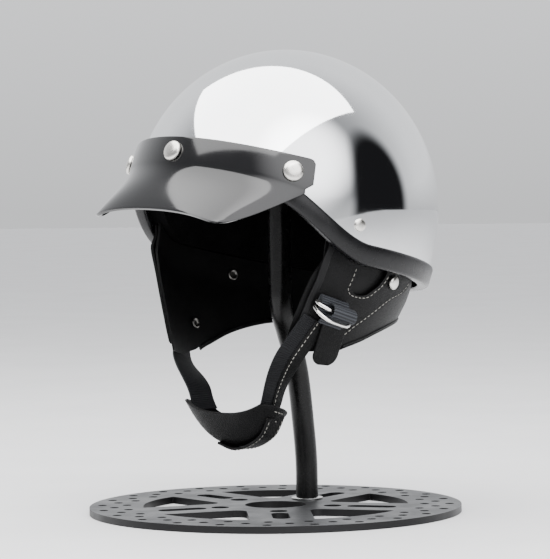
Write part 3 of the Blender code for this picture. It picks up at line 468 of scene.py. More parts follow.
# %% Material maker
def new_material(name, **settings):
    """Principled material; the settings are plain numbers on the shader's own sockets."""
    material = bpy.data.materials.new(name)
    material.use_nodes = True
    shader = material.node_tree.nodes["Principled BSDF"]
    for key, value in settings.items():
        shader.inputs[key.replace("_", " ")].default_value = value
    return material, material.node_tree, shader


def feed(shader, **sockets):
    """Link sockets to the shader's inputs by name."""
    for key, socket in sockets.items():
        shader.id_data.links.new(socket, shader.inputs[key.replace("_", " ")])


def use_group(tree, group, **settings):
    made = tree.nodes.new("ShaderNodeGroup")
    made.node_tree = group
    for key, value in settings.items():
        made.inputs[key].default_value = value
    return made


def colours(tree, factor, *stops):
    """Colour ramp from (position, colour) stops."""
    ramp = node(tree, "ValToRGB", Fac=factor)
    elements = ramp.color_ramp.elements
    while len(elements) < len(stops):
        elements.new(0.5)
    for element, (position, colour) in zip(elements, stops):
        element.position, element.color = position, (*colour, 1.0)
    return ramp.outputs["Color"]


# %% [markdown]
# Metals: the chrome is a clean mirror with faint clouds in it, the snaps are brushed nickel, and
# the disc has fine turned rings round its centre, with painted shade that makes its side edge dark.

# %% Metals
def marked(shader, plain, traced, rough_low, rough_high, scale, ripple):
    """Colour and roughness change from plain to traced in the cloudy traces."""
    tree = shader.id_data
    group = use_group(tree, handled, Scale=scale, Ripple=ripple)
    trace = group.outputs["Trace"]
    feed(shader, Base_Color=colours(tree, trace, (0.0, plain), (1.0, traced)),
         Roughness=spread(tree, trace, 0.0, 1.0, rough_low, rough_high), Normal=group.outputs["Normal"])


def metal(name, dark, light, rough_low, rough_high, scale, ripple):
    material, _, shader = new_material(name, Metallic=1.0)
    marked(shader, light, dark, rough_low, rough_high, scale, ripple)
    return material


chrome = metal("chrome", (0.80, 0.81, 0.82), (0.86, 0.87, 0.88), 0.035, 0.075, 14.0, 0.006)
nickel = metal("nickel", (0.62, 0.60, 0.56), (0.80, 0.78, 0.74), 0.22, 0.36, 160.0, 0.10)
bright_nickel = metal("bright_nickel", (0.72, 0.71, 0.68), (0.88, 0.87, 0.85), 0.10, 0.24, 220.0, 0.08)
# Painted shade: the eyelets inside the curtain get a darker copy of the nickel.
shaded_nickel = metal("shaded_nickel", (0.10, 0.10, 0.095), (0.20, 0.195, 0.18), 0.30, 0.45, 160.0, 0.10)
washer_steel = metal("washer_steel", (0.55, 0.55, 0.54), (0.75, 0.75, 0.74), 0.16, 0.30, 180.0, 0.08)

disc_steel, tree, shader = new_material("disc_steel", Specular_IOR_Level=0.25)
trace = use_group(tree, handled, Scale=26.0, Ripple=0.15)
place = node(tree, "TexCoord").outputs["Object"]
flat_place = node(tree, "VectorMath", operation="MULTIPLY", i0=place, i1=(1.0, 1.0, 0.0))
radius = node(tree, "VectorMath", operation="LENGTH", i0=flat_place.outputs[0])
marks = node(tree, "TexNoise", noise_dimensions="1D", W=radius.outputs["Value"], Scale=2200.0, Detail=2.0)
ringed = node(tree, "Bump", Strength=0.25, Distance=0.0002, Height=marks.outputs["Fac"],
              Normal=trace.outputs["Normal"])
# Painted shade: faces that do not face up get a near-black, non-metal colour, and the top keeps the worn
# steel.
facing = node(tree, "SeparateXYZ", Vector=node(tree, "NewGeometry").outputs["True Normal"])
top = spread(tree, facing.outputs["Z"], 0.4, 0.8, 0.0, 1.0)
worn = colours(tree, trace.outputs["Trace"], (0.0, (0.11, 0.112, 0.115)), (1.0, (0.06, 0.062, 0.065)))
shaded_sides_mix = node(tree, "Mix", data_type="RGBA", i0=top, i6=(0.006, 0.006, 0.0066, 1.0), i7=worn)
feed(shader, Base_Color=shaded_sides_mix.outputs[2], Metallic=spread(tree, top, 0.0, 1.0, 0.0, 0.85),
     Roughness=spread(tree, trace.outputs["Trace"], 0.0, 1.0, 0.36, 0.52), Normal=ringed.outputs["Normal"])
print("metals:", [m.name for m in (chrome, nickel, bright_nickel, shaded_nickel, washer_steel, disc_steel)])


# %% [markdown]
# Plastic, rubber and paint: black, each with its own gloss, faint clouds and a fine ripple.

# %% Plastic, rubber and paint
def moulded(name, plain, traced, rough_low, rough_high, scale, ripple, coat=0.0, specular=0.5):
    material, _, shader = new_material(
        name, Coat_Weight=coat, Coat_Roughness=0.12, Specular_IOR_Level=specular)
    marked(shader, plain, traced, rough_low, rough_high, scale, ripple)
    return material


visor_black = moulded("visor_black", (0.003, 0.003, 0.0035), (0.005, 0.005, 0.0055),
                      0.08, 0.13, 24.0, 0.01, coat=0.25)
trim_rubber = moulded("trim_rubber", (0.003, 0.003, 0.0034), (0.006, 0.006, 0.007),
                      0.24, 0.34, 60.0, 0.12, specular=0.30)
post_paint = moulded("post_paint", (0.002, 0.002, 0.002), (0.005, 0.005, 0.005),
                     0.22, 0.36, 70.0, 0.12, specular=0.22)

# %% [markdown]
# Leather and webbing. The leather's creases are a little darker and duller than its cells.


# %% Leather, webbing, thread and cloth
def leather(name, dark, light, rough_low, rough_high, cell_count, depth):
    material, tree, shader = new_material(name, Specular_IOR_Level=0.14)
    skin = use_group(tree, grain, Cells=cell_count, Depth=depth)
    feed(shader, Base_Color=colours(tree, skin.outputs["Tone"], (0.0, dark), (1.0, light)),
         Roughness=spread(tree, skin.outputs["Crease"], 0.0, 1.0, rough_high, rough_low),
         Normal=skin.outputs["Normal"])
    return material


def webbing(name, dark, light, pitch, rough):
    material, tree, shader = new_material(
        name, Sheen_Weight=0.02, Sheen_Roughness=0.4, Specular_IOR_Level=0.2)
    weave = use_group(tree, ribs, Pitch=pitch)
    # Painted shade and highlight: the webbing is darker in the rib valleys and lighter on the rib tops.
    feed(shader, Base_Color=colours(tree, weave.outputs["RibShading"], (0.0, dark), (1.0, light)),
         Roughness=spread(tree, weave.outputs["Fuzz"], 0.3, 0.7, rough - 0.08, rough + 0.08),
         Normal=weave.outputs["Normal"])
    return material


harness_leather = leather("harness_leather", (0.0012, 0.0012, 0.0013), (0.0032, 0.0032, 0.0034),
                          0.40, 0.60, 620.0, 0.65)
curtain_leather = leather("curtain_leather", (0.0014, 0.0014, 0.0015), (0.0036, 0.0036, 0.0038),
                          0.40, 0.54, 900.0, 0.30)
edge_leather = leather("edge_leather", (0.004, 0.004, 0.0042), (0.009, 0.009, 0.0095),
                       0.40, 0.52, 800.0, 0.35)
cup_leather = leather("cup_leather", (0.0012, 0.0012, 0.0013), (0.0034, 0.0034, 0.0036),
                      0.34, 0.55, 560.0, 0.80)
strap_webbing = webbing("strap_webbing", (0.0012, 0.0012, 0.0015), (0.006, 0.0066, 0.0085),
                        0.0016, 0.60)
loop_webbing = webbing("loop_webbing", (0.003, 0.0032, 0.004), (0.050, 0.054, 0.062),
                       0.0019, 0.34)

thread, tree, shader = new_material("thread", Roughness=0.7)
trace = use_group(tree, handled, Scale=400.0, Ripple=0.4)
pale = colours(tree, trace.outputs["Trace"], (0.0, (0.34, 0.33, 0.30)), (1.0, (0.20, 0.195, 0.175)))
feed(shader, Base_Color=pale, Normal=trace.outputs["Normal"])

liner_cloth, tree, shader = new_material("liner_cloth", Roughness=0.9, Specular_IOR_Level=0.05)
place = node(tree, "TexCoord").outputs["Object"]
knit = node(tree, "TexVoronoi", Vector=place, Scale=900.0)
soft = node(tree, "TexNoise", Vector=place, Scale=60.0, Detail=4.0)
knit_bump = node(tree, "Bump", Strength=0.6, Distance=0.0004, Height=knit.outputs["Distance"])
cloth = colours(tree, soft.outputs["Fac"], (0.3, (0.0012, 0.0012, 0.0013)), (0.7, (0.003, 0.003, 0.0032)))
feed(shader, Base_Color=cloth, Normal=knit_bump.outputs["Normal"])
print("materials:", len(bpy.data.materials))

# %% [markdown]
# ## The dome, the rubber trim and the liner
#
# The dome and the liner are bowls between two offsets of the shell's surface. The liner swells
# between its seams, six from the crown and one round it, and stays within the solid's space.

# %% Dome and liner
COLUMNS = 180


def bowl(outside, inside, lift, rows):
    """Bowl between two offset functions of the angle and of the share of the way to the crown."""
    skins = []
    for offset_at in (outside, inside):
        skin = []
        for row in range(rows):
            share = row / rows
            for column in range(COLUMNS):
                angle = 360.0 * column / COLUMNS
                offset = offset_at(angle, share)
                height = rim_height(angle) + lift
                reach = SHELL_CROWN_HEIGHT + offset if height >= 0.0 else SHELL_SKIRT_DEPTH
                start = math.degrees(math.asin(height / reach))
                rise = start + (90.0 - start) * share
                reach = SHELL_CROWN_HEIGHT + offset if rise >= 0.0 else SHELL_SKIRT_DEPTH
                skin.append(wall(angle, reach * math.sin(math.radians(rise)), offset))
        skin.append(wall(0.0, SHELL_CROWN_HEIGHT + offset_at(0.0, 1.0), offset_at(0.0, 1.0)))
        skins.append(skin)
    faces = grid_faces(rows, COLUMNS, wrap=True)
    crown, last = rows * COLUMNS, (rows - 1) * COLUMNS
    faces += [(last + i, last + (i + 1) % COLUMNS, crown) for i in range(COLUMNS)]
    return thicken(skins[0], skins[1], faces)


def liner_inside(angle, share):
    """The lining lies deepest in its seams."""
    spokes = abs((angle + 30.0) % 60.0 - 30.0) / 57.3 * 0.09 * math.cos(math.radians(90.0 * share))
    ring = abs(share - 0.45) * 0.13
    edge = share * 0.13
    top = (1.0 - share) * 0.13
    near = min(spokes, ring, edge)
    return LINER_INSIDE + 0.006 * math.exp(-(near / 0.006) ** 2) * smooth_step(top / 0.02)


points, faces = bowl(lambda a, s: 0.0, lambda a, s: -SHELL_WALL, TRIM_FLOOR + GAP, 64)
add_piece("dome", points, faces, chrome, ("shell",), sharp=60.0)
points, faces = bowl(lambda a, s: LINER_OUTSIDE, liner_inside, TRIM_INNER_LIP + 2 * GAP, 64)
pads = ("liner_crown", "liner_front", "liner_left", "liner_rear", "liner_right")
lining = add_piece("lining", points, faces, liner_cloth, pads, sharp=60.0)


# %% Rubber trim
def rounded_profile(corners, cut, steps=3):
    """Closed outline of (x, y) corners with each corner cut to a small curve."""
    outline = []
    for i, corner in enumerate(corners):
        here = Vector(corner)
        back, ahead = Vector(corners[i - 1]) - here, Vector(corners[(i + 1) % len(corners)]) - here
        start = here + back.normalized() * min(cut, 0.45 * back.length)
        end = here + ahead.normalized() * min(cut, 0.45 * ahead.length)
        for step in range(steps + 1):
            t = step / steps
            outline.append(start * (1 - t) ** 2 + here * 2 * t * (1 - t) + end * t * t)
    return outline


slot_side = -SHELL_WALL - GAP
trim_corners = (
    (GAP, TRIM_OUTER_LIP), (TRIM_PROUD, TRIM_OUTER_LIP), (TRIM_PROUD, 0.0), (TRIM_INSIDE, 0.0),
    (TRIM_INSIDE, TRIM_INNER_LIP), (slot_side, TRIM_INNER_LIP), (slot_side, TRIM_FLOOR), (GAP, TRIM_FLOOR),
)
trim_profile = []
for offset, rise in rounded_profile(trim_corners, 0.0022, 5):
    level = max(0.0, min(1.0, rise / TRIM_OUTER_LIP))
    swell = 0.45 + 0.55 * math.sin(math.pi * level) ** 0.6 if offset > 0.001 else 1.0
    trim_profile.append((offset * swell, rise))
rings = []
for column in range(COLUMNS):
    angle = 360.0 * column / COLUMNS
    rings.append([wall(angle, rim_height(angle) + rise, offset) for offset, rise in trim_profile])
points, faces = tube(rings, closed=True)
add_piece("rim_trim", points, faces, trim_rubber, ("edge_trim",), sharp=75.0)
print("dome, lining and trim are in place")

# %% [markdown]
# ## The visor
#
# A strip follows the brow, and a peak droops from it. The sheet gets its thickness and its
# rounded edges from two modifiers.


# %% Visor
def strip_top(angle):
    share = math.sin(math.radians(angle)) / math.sin(math.radians(STRIP_HALF_ANGLE))
    return STRIP_TOP - STRIP_TOP_FALL * share ** 2


def peak_root(angle):
    return PEAK_ROOT - PEAK_ROOT_FALL * abs(angle / PEAK_HALF_ANGLE) ** 3.2


def peak_edge(share):
    end = wall_local(PEAK_HALF_ANGLE, peak_root(PEAK_HALF_ANGLE) - 0.003, STRIP_MIDDLE)
    point = curve_point((PEAK_TIP, *PEAK_CORNERS, end), abs(share))
    return Vector((math.copysign(point.x, share), point.y, point.z))


def peak_point(share, along):
    angle = share * PEAK_HALF_ANGLE
    root = wall_local(angle, peak_root(angle), STRIP_MIDDLE)
    edge = peak_edge(share)
    fold = root + Vector((0.0, 0.0, -0.22 * (edge - root).length))
    lead = edge - (edge - root) * 0.45
    return HELMET_POSE @ curve_point((root, fold, lead, edge), along)


half, peak_rows, strip_rows, end_columns = 60, 28, 14, 3
shares = [i / half for i in range(-half, half + 1)]
points = [peak_point(share, 1.0 - row / peak_rows) for row in range(peak_rows) for share in shares]
for row in range(strip_rows + 1):
    for share in shares:
        low = peak_root(share * PEAK_HALF_ANGLE)
        high = strip_top(share * PEAK_HALF_ANGLE)
        points.append(wall(share * PEAK_HALF_ANGLE, low + (high - low) * row / strip_rows, STRIP_MIDDLE))
width = len(shares)
faces = grid_faces(peak_rows + strip_rows + 1, width)
for side, column in ((-1, 0), (1, width - 1)):
    earlier = [(peak_rows + row) * width + column for row in range(strip_rows + 1)]
    for step in range(1, end_columns + 1):
        share = step / end_columns
        angle = PEAK_HALF_ANGLE + (STRIP_HALF_ANGLE - PEAK_HALF_ANGLE) * share
        root, top = peak_root(PEAK_HALF_ANGLE), strip_top(angle)
        round_off = 0.0035 * (1.0 - math.sqrt(1.0 - share ** 2))
        low, high = root + (STRIP_END_BOTTOM - root) * share, top - round_off
        newer = []
        for row in range(strip_rows + 1):
            newer.append(len(points))
            points.append(wall(side * angle, low + (high - low) * row / strip_rows, STRIP_MIDDLE))
        for row in range(strip_rows):
            quad = (earlier[row], newer[row], newer[row + 1], earlier[row + 1])
            faces.append(quad if side > 0 else quad[::-1])
        earlier = newer
brim = add_piece("brim", points, faces, visor_black, ("visor",), sharp=50.0)
thick_sheet(brim, VISOR_WALL, 0.0007)


# %% Snaps, rivets and eyelets
def snap_profile(radius, height):
    """Cap with a rolled edge and a slightly sunk middle; columns are radius and height."""
    return (
        (0.84 * radius, 0.0), (0.95 * radius, 0.03 * height), (radius, 0.20 * height),
        (0.995 * radius, 0.38 * height), (0.95 * radius, 0.58 * height), (0.87 * radius, 0.72 * height),
        (0.76 * radius, 0.83 * height), (0.62 * radius, 0.91 * height), (0.45 * radius, 0.97 * height),
        (0.28 * radius, 0.995 * height), (0.12 * radius, height), (0.03 * radius, height),
    )


def cap_on_wall(name, angle, height, offset, radius, tall, node_name):
    spot = frame_at(wall(angle, height, offset), wall_normal(angle, height), Vector((0.0, 0.0, 1.0)))
    points, faces = turned(snap_profile(radius, tall), 48, spot)
    add_piece(name, points, faces, nickel, (node_name,))


on_strip = STRIP_MIDDLE + VISOR_WALL / 2 + GAP
cap_on_wall("cap_centre", 0.0, 0.0219, on_strip, SNAP_RADIUS, SNAP_HEIGHT, "visor_snap_centre")
for side, word in ((1, "left"), (-1, "right")):
    cap_on_wall(f"cap_{word}", side * 47.4, 0.0165, on_strip, SNAP_RADIUS, SNAP_HEIGHT, f"visor_snap_{word}")
    for spot, angle, height in (("front", 75.4, -0.0139), ("rear", 155.6, -0.0078)):
        cap_on_wall(f"rivet_{spot}_{word}", side * angle, height, -GAP, RIVET_RADIUS, RIVET_HEIGHT,
                    f"shell_rivet_{spot}_{word}")
    origin, rearward, _, outward = drape_frame(side * 102.0, -0.0495, HARNESS_OUTSIDE + GAP)
    points, faces = turned(snap_profile(0.0056, 0.0036), 40, frame_at(origin, outward, rearward))
    add_piece(f"cap_harness_{word}", points, faces, nickel, (f"harness_snap_{word}",))
    for spot, angle, height in (("upper", 111.7, -0.0503), ("lower", 87.6, -0.0960)):
        origin, rearward, _, outward = drape_frame(side * angle, height, CURTAIN_INSIDE)
        back = frame_at(origin - outward * 2 * GAP, -outward, rearward)
        rolled = ((0.0030, 0.0), (0.0042, 0.0001), (0.0045, 0.0006), (0.0042, 0.0011), (0.0036, 0.0014),
                  (0.0029, 0.0012), (0.0024, 0.0007), (0.0020, 0.0003), (0.0004, 0.0002))
        points, faces = turned(rolled, 36, back)
        # The eyelets' darker nickel is painted shade for the inside of the curtain.
        add_piece(f"tube_{spot}_{word}", points, faces, shaded_nickel, (f"eyelet_{spot}_{word}",))
print("snaps and rivets are in place")

# %% [markdown]
# ## Leather behind the ears
#
# The neck curtain runs from cheek to cheek round the back, and its hem is rolled. The harness
# lies on it over each ear, with a U-shaped gap, a bound front edge and rows of pale stitches.


# %% Neck curtain and its hem
def curtain_angle(column_share, drop_share):
    edge = 65.5 + (56.5 - 65.5) * drop_share
    return edge + (360.0 - 2.0 * edge) * column_share


curtain_columns, hang_rows = 240, 22
skins = []
for offset in (CURTAIN_OUTSIDE, CURTAIN_INSIDE):
    skin = []
    for row in range(hang_rows + 5):
        for column in range(curtain_columns + 1):
            fall = max(0, row - 4) / hang_rows
            drop = 0.15 * min(1.0, fall * 4) + 0.85 * fall
            angle = curtain_angle(column / curtain_columns, drop)
            knee = rim_height(angle) - LEATHER_KNEE
            if row <= 4:
                height = rim_height(angle) + LEATHER_TUCK - (LEATHER_TUCK + LEATHER_KNEE) * row / 4
            else:
                height = knee + (hem_height(angle) - knee) * fall
            skin.append(drape(angle, height, offset))
    skins.append(skin)
points, faces = thicken(skins[0], skins[1], grid_faces(hang_rows + 5, curtain_columns + 1))
curtain = add_piece("curtain", points, faces, curtain_leather, ("neck_curtain",), sharp=50.0)

stride = curtain_columns + 1

rings = []
middle = (CURTAIN_OUTSIDE + CURTAIN_INSIDE) / 2
roll = []
for i in range(20):
    turn = math.tau * i / 20
    waist = 1.0 - 0.28 * math.exp(-(math.sin(turn) / 0.35) ** 2)
    roll.append((BINDING_RADIUS * waist * math.cos(turn), BINDING_RADIUS * math.sin(turn)))
for section in range(181):
    angle = 90.0 + 180.0 * section / 180
    hem = hem_height(angle) - 0.0016
    rings.append([drape(angle, hem + up, middle + out) for out, up in roll])
points, faces = tube(rings)
hem_roll = add_piece("hem_roll", points, faces, harness_leather, ("curtain_binding",), sharp=60.0)

# %% [markdown]
# The harness's edges are read from tables: the share of its drop, then the angles from the
# front of its front edge, of both sides of the ear gap and of its rear edge.

# %% Harness edges
KNEE_SHARE = LEATHER_KNEE / HARNESS_DROP
HARNESS_ROWS = (
    (-0.119, 66.2, 82.0, 97.0, 119.0), (0.022, 66.2, 82.0, 97.0, 119.0), (0.174, 64.8, 81.2, 94.0, 113.5),
    (0.27, 64.0, 81.3, 90.6, 108.3), (0.33, 63.5, 84.9, 85.9, 105.5), (0.50, 62.3, 81.5, 81.5, 99.5),
    (0.70, 61.2, 77.5, 77.5, 92.0), (0.84, 60.2, 74.0, 74.0, 87.0), (1.00, 60.0, 68.5, 68.5, 76.0),
)
FRONT, GAP_FRONT, GAP_REAR, REAR = 1, 2, 3, 4
GAP_ENDS = 0.345


def harness_edge(column, share):
    return reading([(row[0], row[column]) for row in HARNESS_ROWS], share)


def gap_edge(column, share):
    """Side of the ear gap: it closes in a round end."""
    middle = (harness_edge(GAP_FRONT, share) + harness_edge(GAP_REAR, share)) / 2
    round_from = 0.24
    if share >= GAP_ENDS:
        return middle
    straight = min(share, round_from)
    half = (harness_edge(GAP_REAR, straight) - harness_edge(GAP_FRONT, straight)) / 2
    closing = max(0.0, share - round_from) / (GAP_ENDS - round_from)
    half *= math.sqrt(max(0.0, 1.0 - closing ** 2))
    return middle + (half if column == GAP_REAR else -half)


def harness_height(share, angle, side):
    if share <= KNEE_SHARE:
        return rim_height(angle) - share * HARNESS_DROP
    low = RIM_SIDE - (HARNESS_DROP - side * CURTAIN_LIFT) * max(share, 0.27)
    if share >= 0.27:
        return low
    knee = rim_height(angle) - LEATHER_KNEE
    return knee + (low - knee) * (share - KNEE_SHARE) / (0.27 - KNEE_SHARE)


def harness_point(side, share, angle, offset):
    return drape(side * angle, harness_height(share, angle, side), offset)


# %% Stitches
THREAD_LENGTH, THREAD_SKIP, THREAD_RADIUS = 0.0026, 0.0014, 0.00026
THREAD_BOW = (  # share of the length, lift and thickness in thread radii
    (0.0, -0.6, 0.4), (0.1, 0.1, 0.9), (0.35, 0.7, 1.0), (0.65, 0.7, 1.0), (0.9, 0.1, 0.9), (1.0, -0.6, 0.4),
)


def stitches(name, path, outwards):
    """Row of short threads that dip into the surface at both ends, as one piece."""
    lengths = [0.0]
    for a, b in zip(path, path[1:]):
        lengths.append(lengths[-1] + (b - a).length)

    def at(distance, values):
        for i in range(1, len(lengths)):
            if distance <= lengths[i]:
                t = (distance - lengths[i - 1]) / (lengths[i] - lengths[i - 1])
                return values[i - 1].lerp(values[i], t)
        return values[-1]

    points, faces = [], []
    turns = [math.tau * k / 8 for k in range(8)]
    distance = THREAD_SKIP / 2
    while distance + THREAD_LENGTH <= lengths[-1]:
        ahead = (at(distance + THREAD_LENGTH, path) - at(distance, path)).normalized()
        rings = []
        for share, lift, wide in THREAD_BOW:
            out = at(distance + THREAD_LENGTH * share, outwards).normalized()
            centre = at(distance + THREAD_LENGTH * share, path) + out * THREAD_RADIUS * lift
            across = out.cross(ahead).normalized() * 1.15
            rings.append([centre + (across * math.cos(t) + out * math.sin(t)) * THREAD_RADIUS * wide
                          for t in turns])
        more, quads = tube(rings)
        start = len(points)
        points += more
        faces += [tuple(start + i for i in face) for face in quads]
        distance += THREAD_LENGTH + THREAD_SKIP
    add_piece(name, points, faces, thread)


def harness_stitches(name, side, rows):
    """Stitches on the harness along (share, angle) rows."""
    path, outs = [], []
    for share, angle in rows:
        height = harness_height(share, angle, side)
        origin, _, _, outward = drape_frame(side * angle, height, HARNESS_OUTSIDE)
        path.append(origin)
        outs.append(outward)
    stitches(name, path, outs)


# %% Harness
arm_columns = 18
levels = [-0.119 + (GAP_ENDS + 0.119) * (1.0 - (1.0 - i / 40) ** 1.5) for i in range(41)]
levels += [GAP_ENDS + (1.0 - GAP_ENDS) * i / 36 for i in range(1, 37)]
for side, word in ((1, "left"), (-1, "right")):
    skins = []
    for offset in (HARNESS_OUTSIDE, HARNESS_INSIDE):
        skin = []
        for share in levels:
            front, rear = harness_edge(FRONT, share), harness_edge(REAR, share)
            inner = (gap_edge(GAP_FRONT, share), gap_edge(GAP_REAR, share))
            for start, end in ((front, inner[0]), (inner[1], rear)):
                for i in range(arm_columns + 1):
                    angle = start + (end - start) * i / arm_columns
                    skin.append(harness_point(side, share, angle, offset))
        skins.append(skin)
    stride = 2 * arm_columns + 2
    joined = []
    for face in grid_faces(len(levels), stride):
        if face[0] % stride != arm_columns:
            joined.append(tuple(
                i - 1 if i % stride == arm_columns + 1 and i // stride >= 40 else i for i in face))
    points, faces = thicken(skins[0], skins[1], joined)
    used = sorted({i for face in faces for i in face})
    place_of = {old: new for new, old in enumerate(used)}
    points = [points[i] for i in used]
    faces = [tuple(place_of[i] for i in face) for face in faces]
    add_piece(f"harness_{word}", points, faces, harness_leather, (f"ear_harness_{word}",), sharp=50.0)

    inset = 1.7
    shares = [0.03 + 0.95 * i / 60 for i in range(61)]
    harness_stitches(f"stitch_rear_{word}", side, [(s, harness_edge(REAR, s) - inset) for s in shares])
    down = [0.03 + (GAP_ENDS - 0.03) * i / 40 for i in range(41)]
    lower = [s + 0.02 * max(0.0, (s - 0.24) / 0.1) for s in down]
    around = [(low, gap_edge(GAP_FRONT, s) - inset) for low, s in zip(lower, down)]
    around += [(low, gap_edge(GAP_REAR, s) + inset) for low, s in zip(reversed(lower), reversed(down))]
    harness_stitches(f"stitch_gap_{word}", side, around)

    bound = []
    for i in range(61):
        share = 0.02 + 0.96 * i / 60
        angle = harness_edge(FRONT, share)
        height = harness_height(share, angle, side)
        origin, rearward, _, outward = drape_frame(side * angle, height, HARNESS_OUTSIDE)
        outline = ((0.0002, 0.0), (0.0, 0.0004), (0.0008, 0.0007), (0.0030, 0.0008), (0.0050, 0.0007),
                   (0.0058, 0.0))
        bound.append([origin + rearward * across + outward * (rise + 0.00005) for across, rise in outline])
    points, faces = tube(bound)
    piece = add_piece(f"bound_edge_{word}", points, faces, edge_leather, sharp=60.0)
print("leather is in place")

# %% [markdown]
# ## Chin strap, rings and cup
#
# The strap on the wearer's left is webbing faced with leather, sewn with one pale row. Its
# loose end hangs over it from the lower ring. The strap on the right is plain webbing.


# %% Strap path
def cup_arc(angle, radius, ahead=0.0):
    turn = math.radians(angle)
    return Vector((radius * math.sin(turn), CUP_FORWARD - ahead, CUP_CENTRE_HEIGHT - radius * math.cos(turn)))


def strap_stations(side, strap, leaves, layer, into_cup):
    """Stations of (inner-face centre, width direction, outward direction)."""
    start = strap.point(0.0, 0.0, layer)
    run = strap.down * leaves
    stations = [(start + run * i / 10, strap.rear, strap.out) for i in range(11)]
    start = start + run
    radius = CUP_RADIUS - into_cup
    end = cup_arc(side * 72.0, radius)
    length = (end - start).length
    inward = (cup_arc(side * 71.0, radius) - end).normalized()
    controls = (start, start + strap.down * 0.22 * length, end - inward * 0.3 * length, end)
    steps = 60
    for step in range(1, steps):
        t = step / steps
        tangent = curve_point(controls, t + 0.01) - curve_point(controls, t - 0.01)
        across = strap.rear.lerp(Vector((0.0, 1.0, 0.0)), smooth_step(t))
        outward = across.cross(tangent).normalized()
        if outward.x * side < 0:
            outward = -outward
        across = outward.cross(tangent).normalized()
        if across.y < 0:
            across = -across
        stations.append((curve_point(controls, t), across, outward))
    for i in range(19):
        angle = 72.0 - i
        outward = (cup_arc(side * angle, radius) - cup_arc(side * angle, 0.0)).normalized()
        stations.append((cup_arc(side * angle, radius), Vector((0.0, 1.0, 0.0)), outward))
    return stations


def strap_mesh(stations, width, thickness, outline=None):
    """Strap with soft edges; also the flat coordinates for its weave."""
    if outline is None:
        corner = 0.3 * thickness
        outline = rounded_profile(
            ((-width / 2, 0.0), (width / 2, 0.0), (width / 2, thickness), (-width / 2, thickness)), corner, 3)
    rings, flat, run = [], [], 0.0
    for i, (centre, across, outward) in enumerate(stations):
        if i:
            run += (centre - stations[i - 1][0]).length
        rings.append([centre + across * x + outward * y for x, y in outline])
        flat += [(x, run) for x, _ in outline]
    points, faces = tube(rings)
    return points, faces, flat


# %% Straps
strap = StrapFrame(1, *STRAP_AT)
leaves = strap.run_to(hem_height(STRAP_AT[0]))
stations = strap_stations(1, strap, leaves, LAYER_GAP, STRAP_IN_CUP + STRAP_THICKNESS)
points, faces, flat = strap_mesh(stations, STRAP_WIDTH, 0.0019)
add_piece("strap_webbing_left", points, faces, strap_webbing, ("chin_strap_left",), sharp=60.0, flat=flat)
facing = rounded_profile(((0.0005, 0.00192), (0.0111, 0.00192), (0.0111, 0.0026), (0.0005, 0.0026)), 0.0003, 3)
points, faces, flat = strap_mesh(stations, 0.0, 0.0, facing)
piece = add_piece("strap_facing_left", points, faces, harness_leather, sharp=60.0, flat=flat)
line = [centre + across * 0.0030 + outward * 0.0026 for centre, across, outward in stations]
stitches("stitch_strap_left", line, [outward for _, _, outward in stations])

strap = StrapFrame(-1, *WEBBING_AT)
leaves = strap.run_to(hem_height(-WEBBING_AT[0]) - WEBBING_THICKNESS)
stations = strap_stations(-1, strap, leaves, LAYER_GAP, STRAP_IN_CUP + WEBBING_THICKNESS)
points, faces, flat = strap_mesh(stations, WEBBING_WIDTH, WEBBING_THICKNESS)
add_piece("strap_webbing_right", points, faces, strap_webbing, ("chin_strap_right",), sharp=60.0, flat=flat)
for row, place_down in (("a", 0.004), ("b", 0.010)):
    surface = LAYER_GAP + WEBBING_THICKNESS
    line = [strap.point(-0.010 + 0.020 * i / 20, place_down, surface) for i in range(21)]
    stitches(f"stitch_bar_right_{row}", line, [strap.out] * 21)

tail = StrapFrame(1, *TAIL_AT)
rings, flat = [], []
for i in range(41):
    share = i / 40
    end = max(0.0, (share - 0.72) / 0.28)
    half = STRAP_WIDTH / 2 * math.sqrt(max(0.0, 1.0 - 0.78 * end ** 2.4))
    curl = 0.0004 * smooth_step((share - 0.5) / 0.5)
    outline = rounded_profile(
        ((-half, 0.0), (half, 0.0), (half, WEBBING_THICKNESS), (-half, WEBBING_THICKNESS)), 0.0006, 3)
    rings.append([tail.point(rear, TAIL_LENGTH * share, TAIL_LIFT - curl + out) for rear, out in outline])
    flat += [(rear, TAIL_LENGTH * share) for rear, _ in outline]
points, faces = tube(rings)
add_piece("tail", points, faces, harness_leather, ("strap_tail",), sharp=60.0, flat=flat)
print("straps are in place")


# %% Rings and their loop
def ring_outline(reach):
    """D shape as (across, reach) pairs: a straight bar and a rounded bow."""
    straight = LOOP_WIDTH / 2 + 0.6 * RING_WIRE
    outline = [(-straight + 2 * straight * i / 10, 0.0) for i in range(11)]
    for step in range(1, 40):
        turn = math.pi * step / 40
        across = RING_HALF_WIDTH * math.copysign(abs(math.cos(turn)) ** 0.6, math.cos(turn))
        outline.append((across, reach * math.sin(turn)))
    return outline


holder = StrapFrame(1, *RINGS_AT)
bar_out = GAP + LOOP_WALL + GAP + RING_WIRE / 2
for name, order, reach, tilt in RINGS:
    lift = math.radians(tilt)
    bow_way = holder.down * math.cos(lift) + holder.out * math.sin(lift)
    plane = holder.rear.cross(bow_way).normalized()
    centres = [holder.point(across, order * RING_SPACING, bar_out) + bow_way * far
               for across, far in ring_outline(reach)]
    turns = [math.tau * k / 16 for k in range(16)]
    rings = []
    for i, centre in enumerate(centres):
        tangent = (centres[(i + 1) % len(centres)] - centres[i - 1]).normalized()
        inward = plane.cross(tangent)
        rings.append([centre + (inward * math.cos(t) + plane * math.sin(t)) * RING_WIRE / 2 for t in turns])
    points, faces = tube(rings, closed=True)
    add_piece(f"d_ring_{name}", points, faces, bright_nickel, (f"ring_{name}",), sharp=80.0)

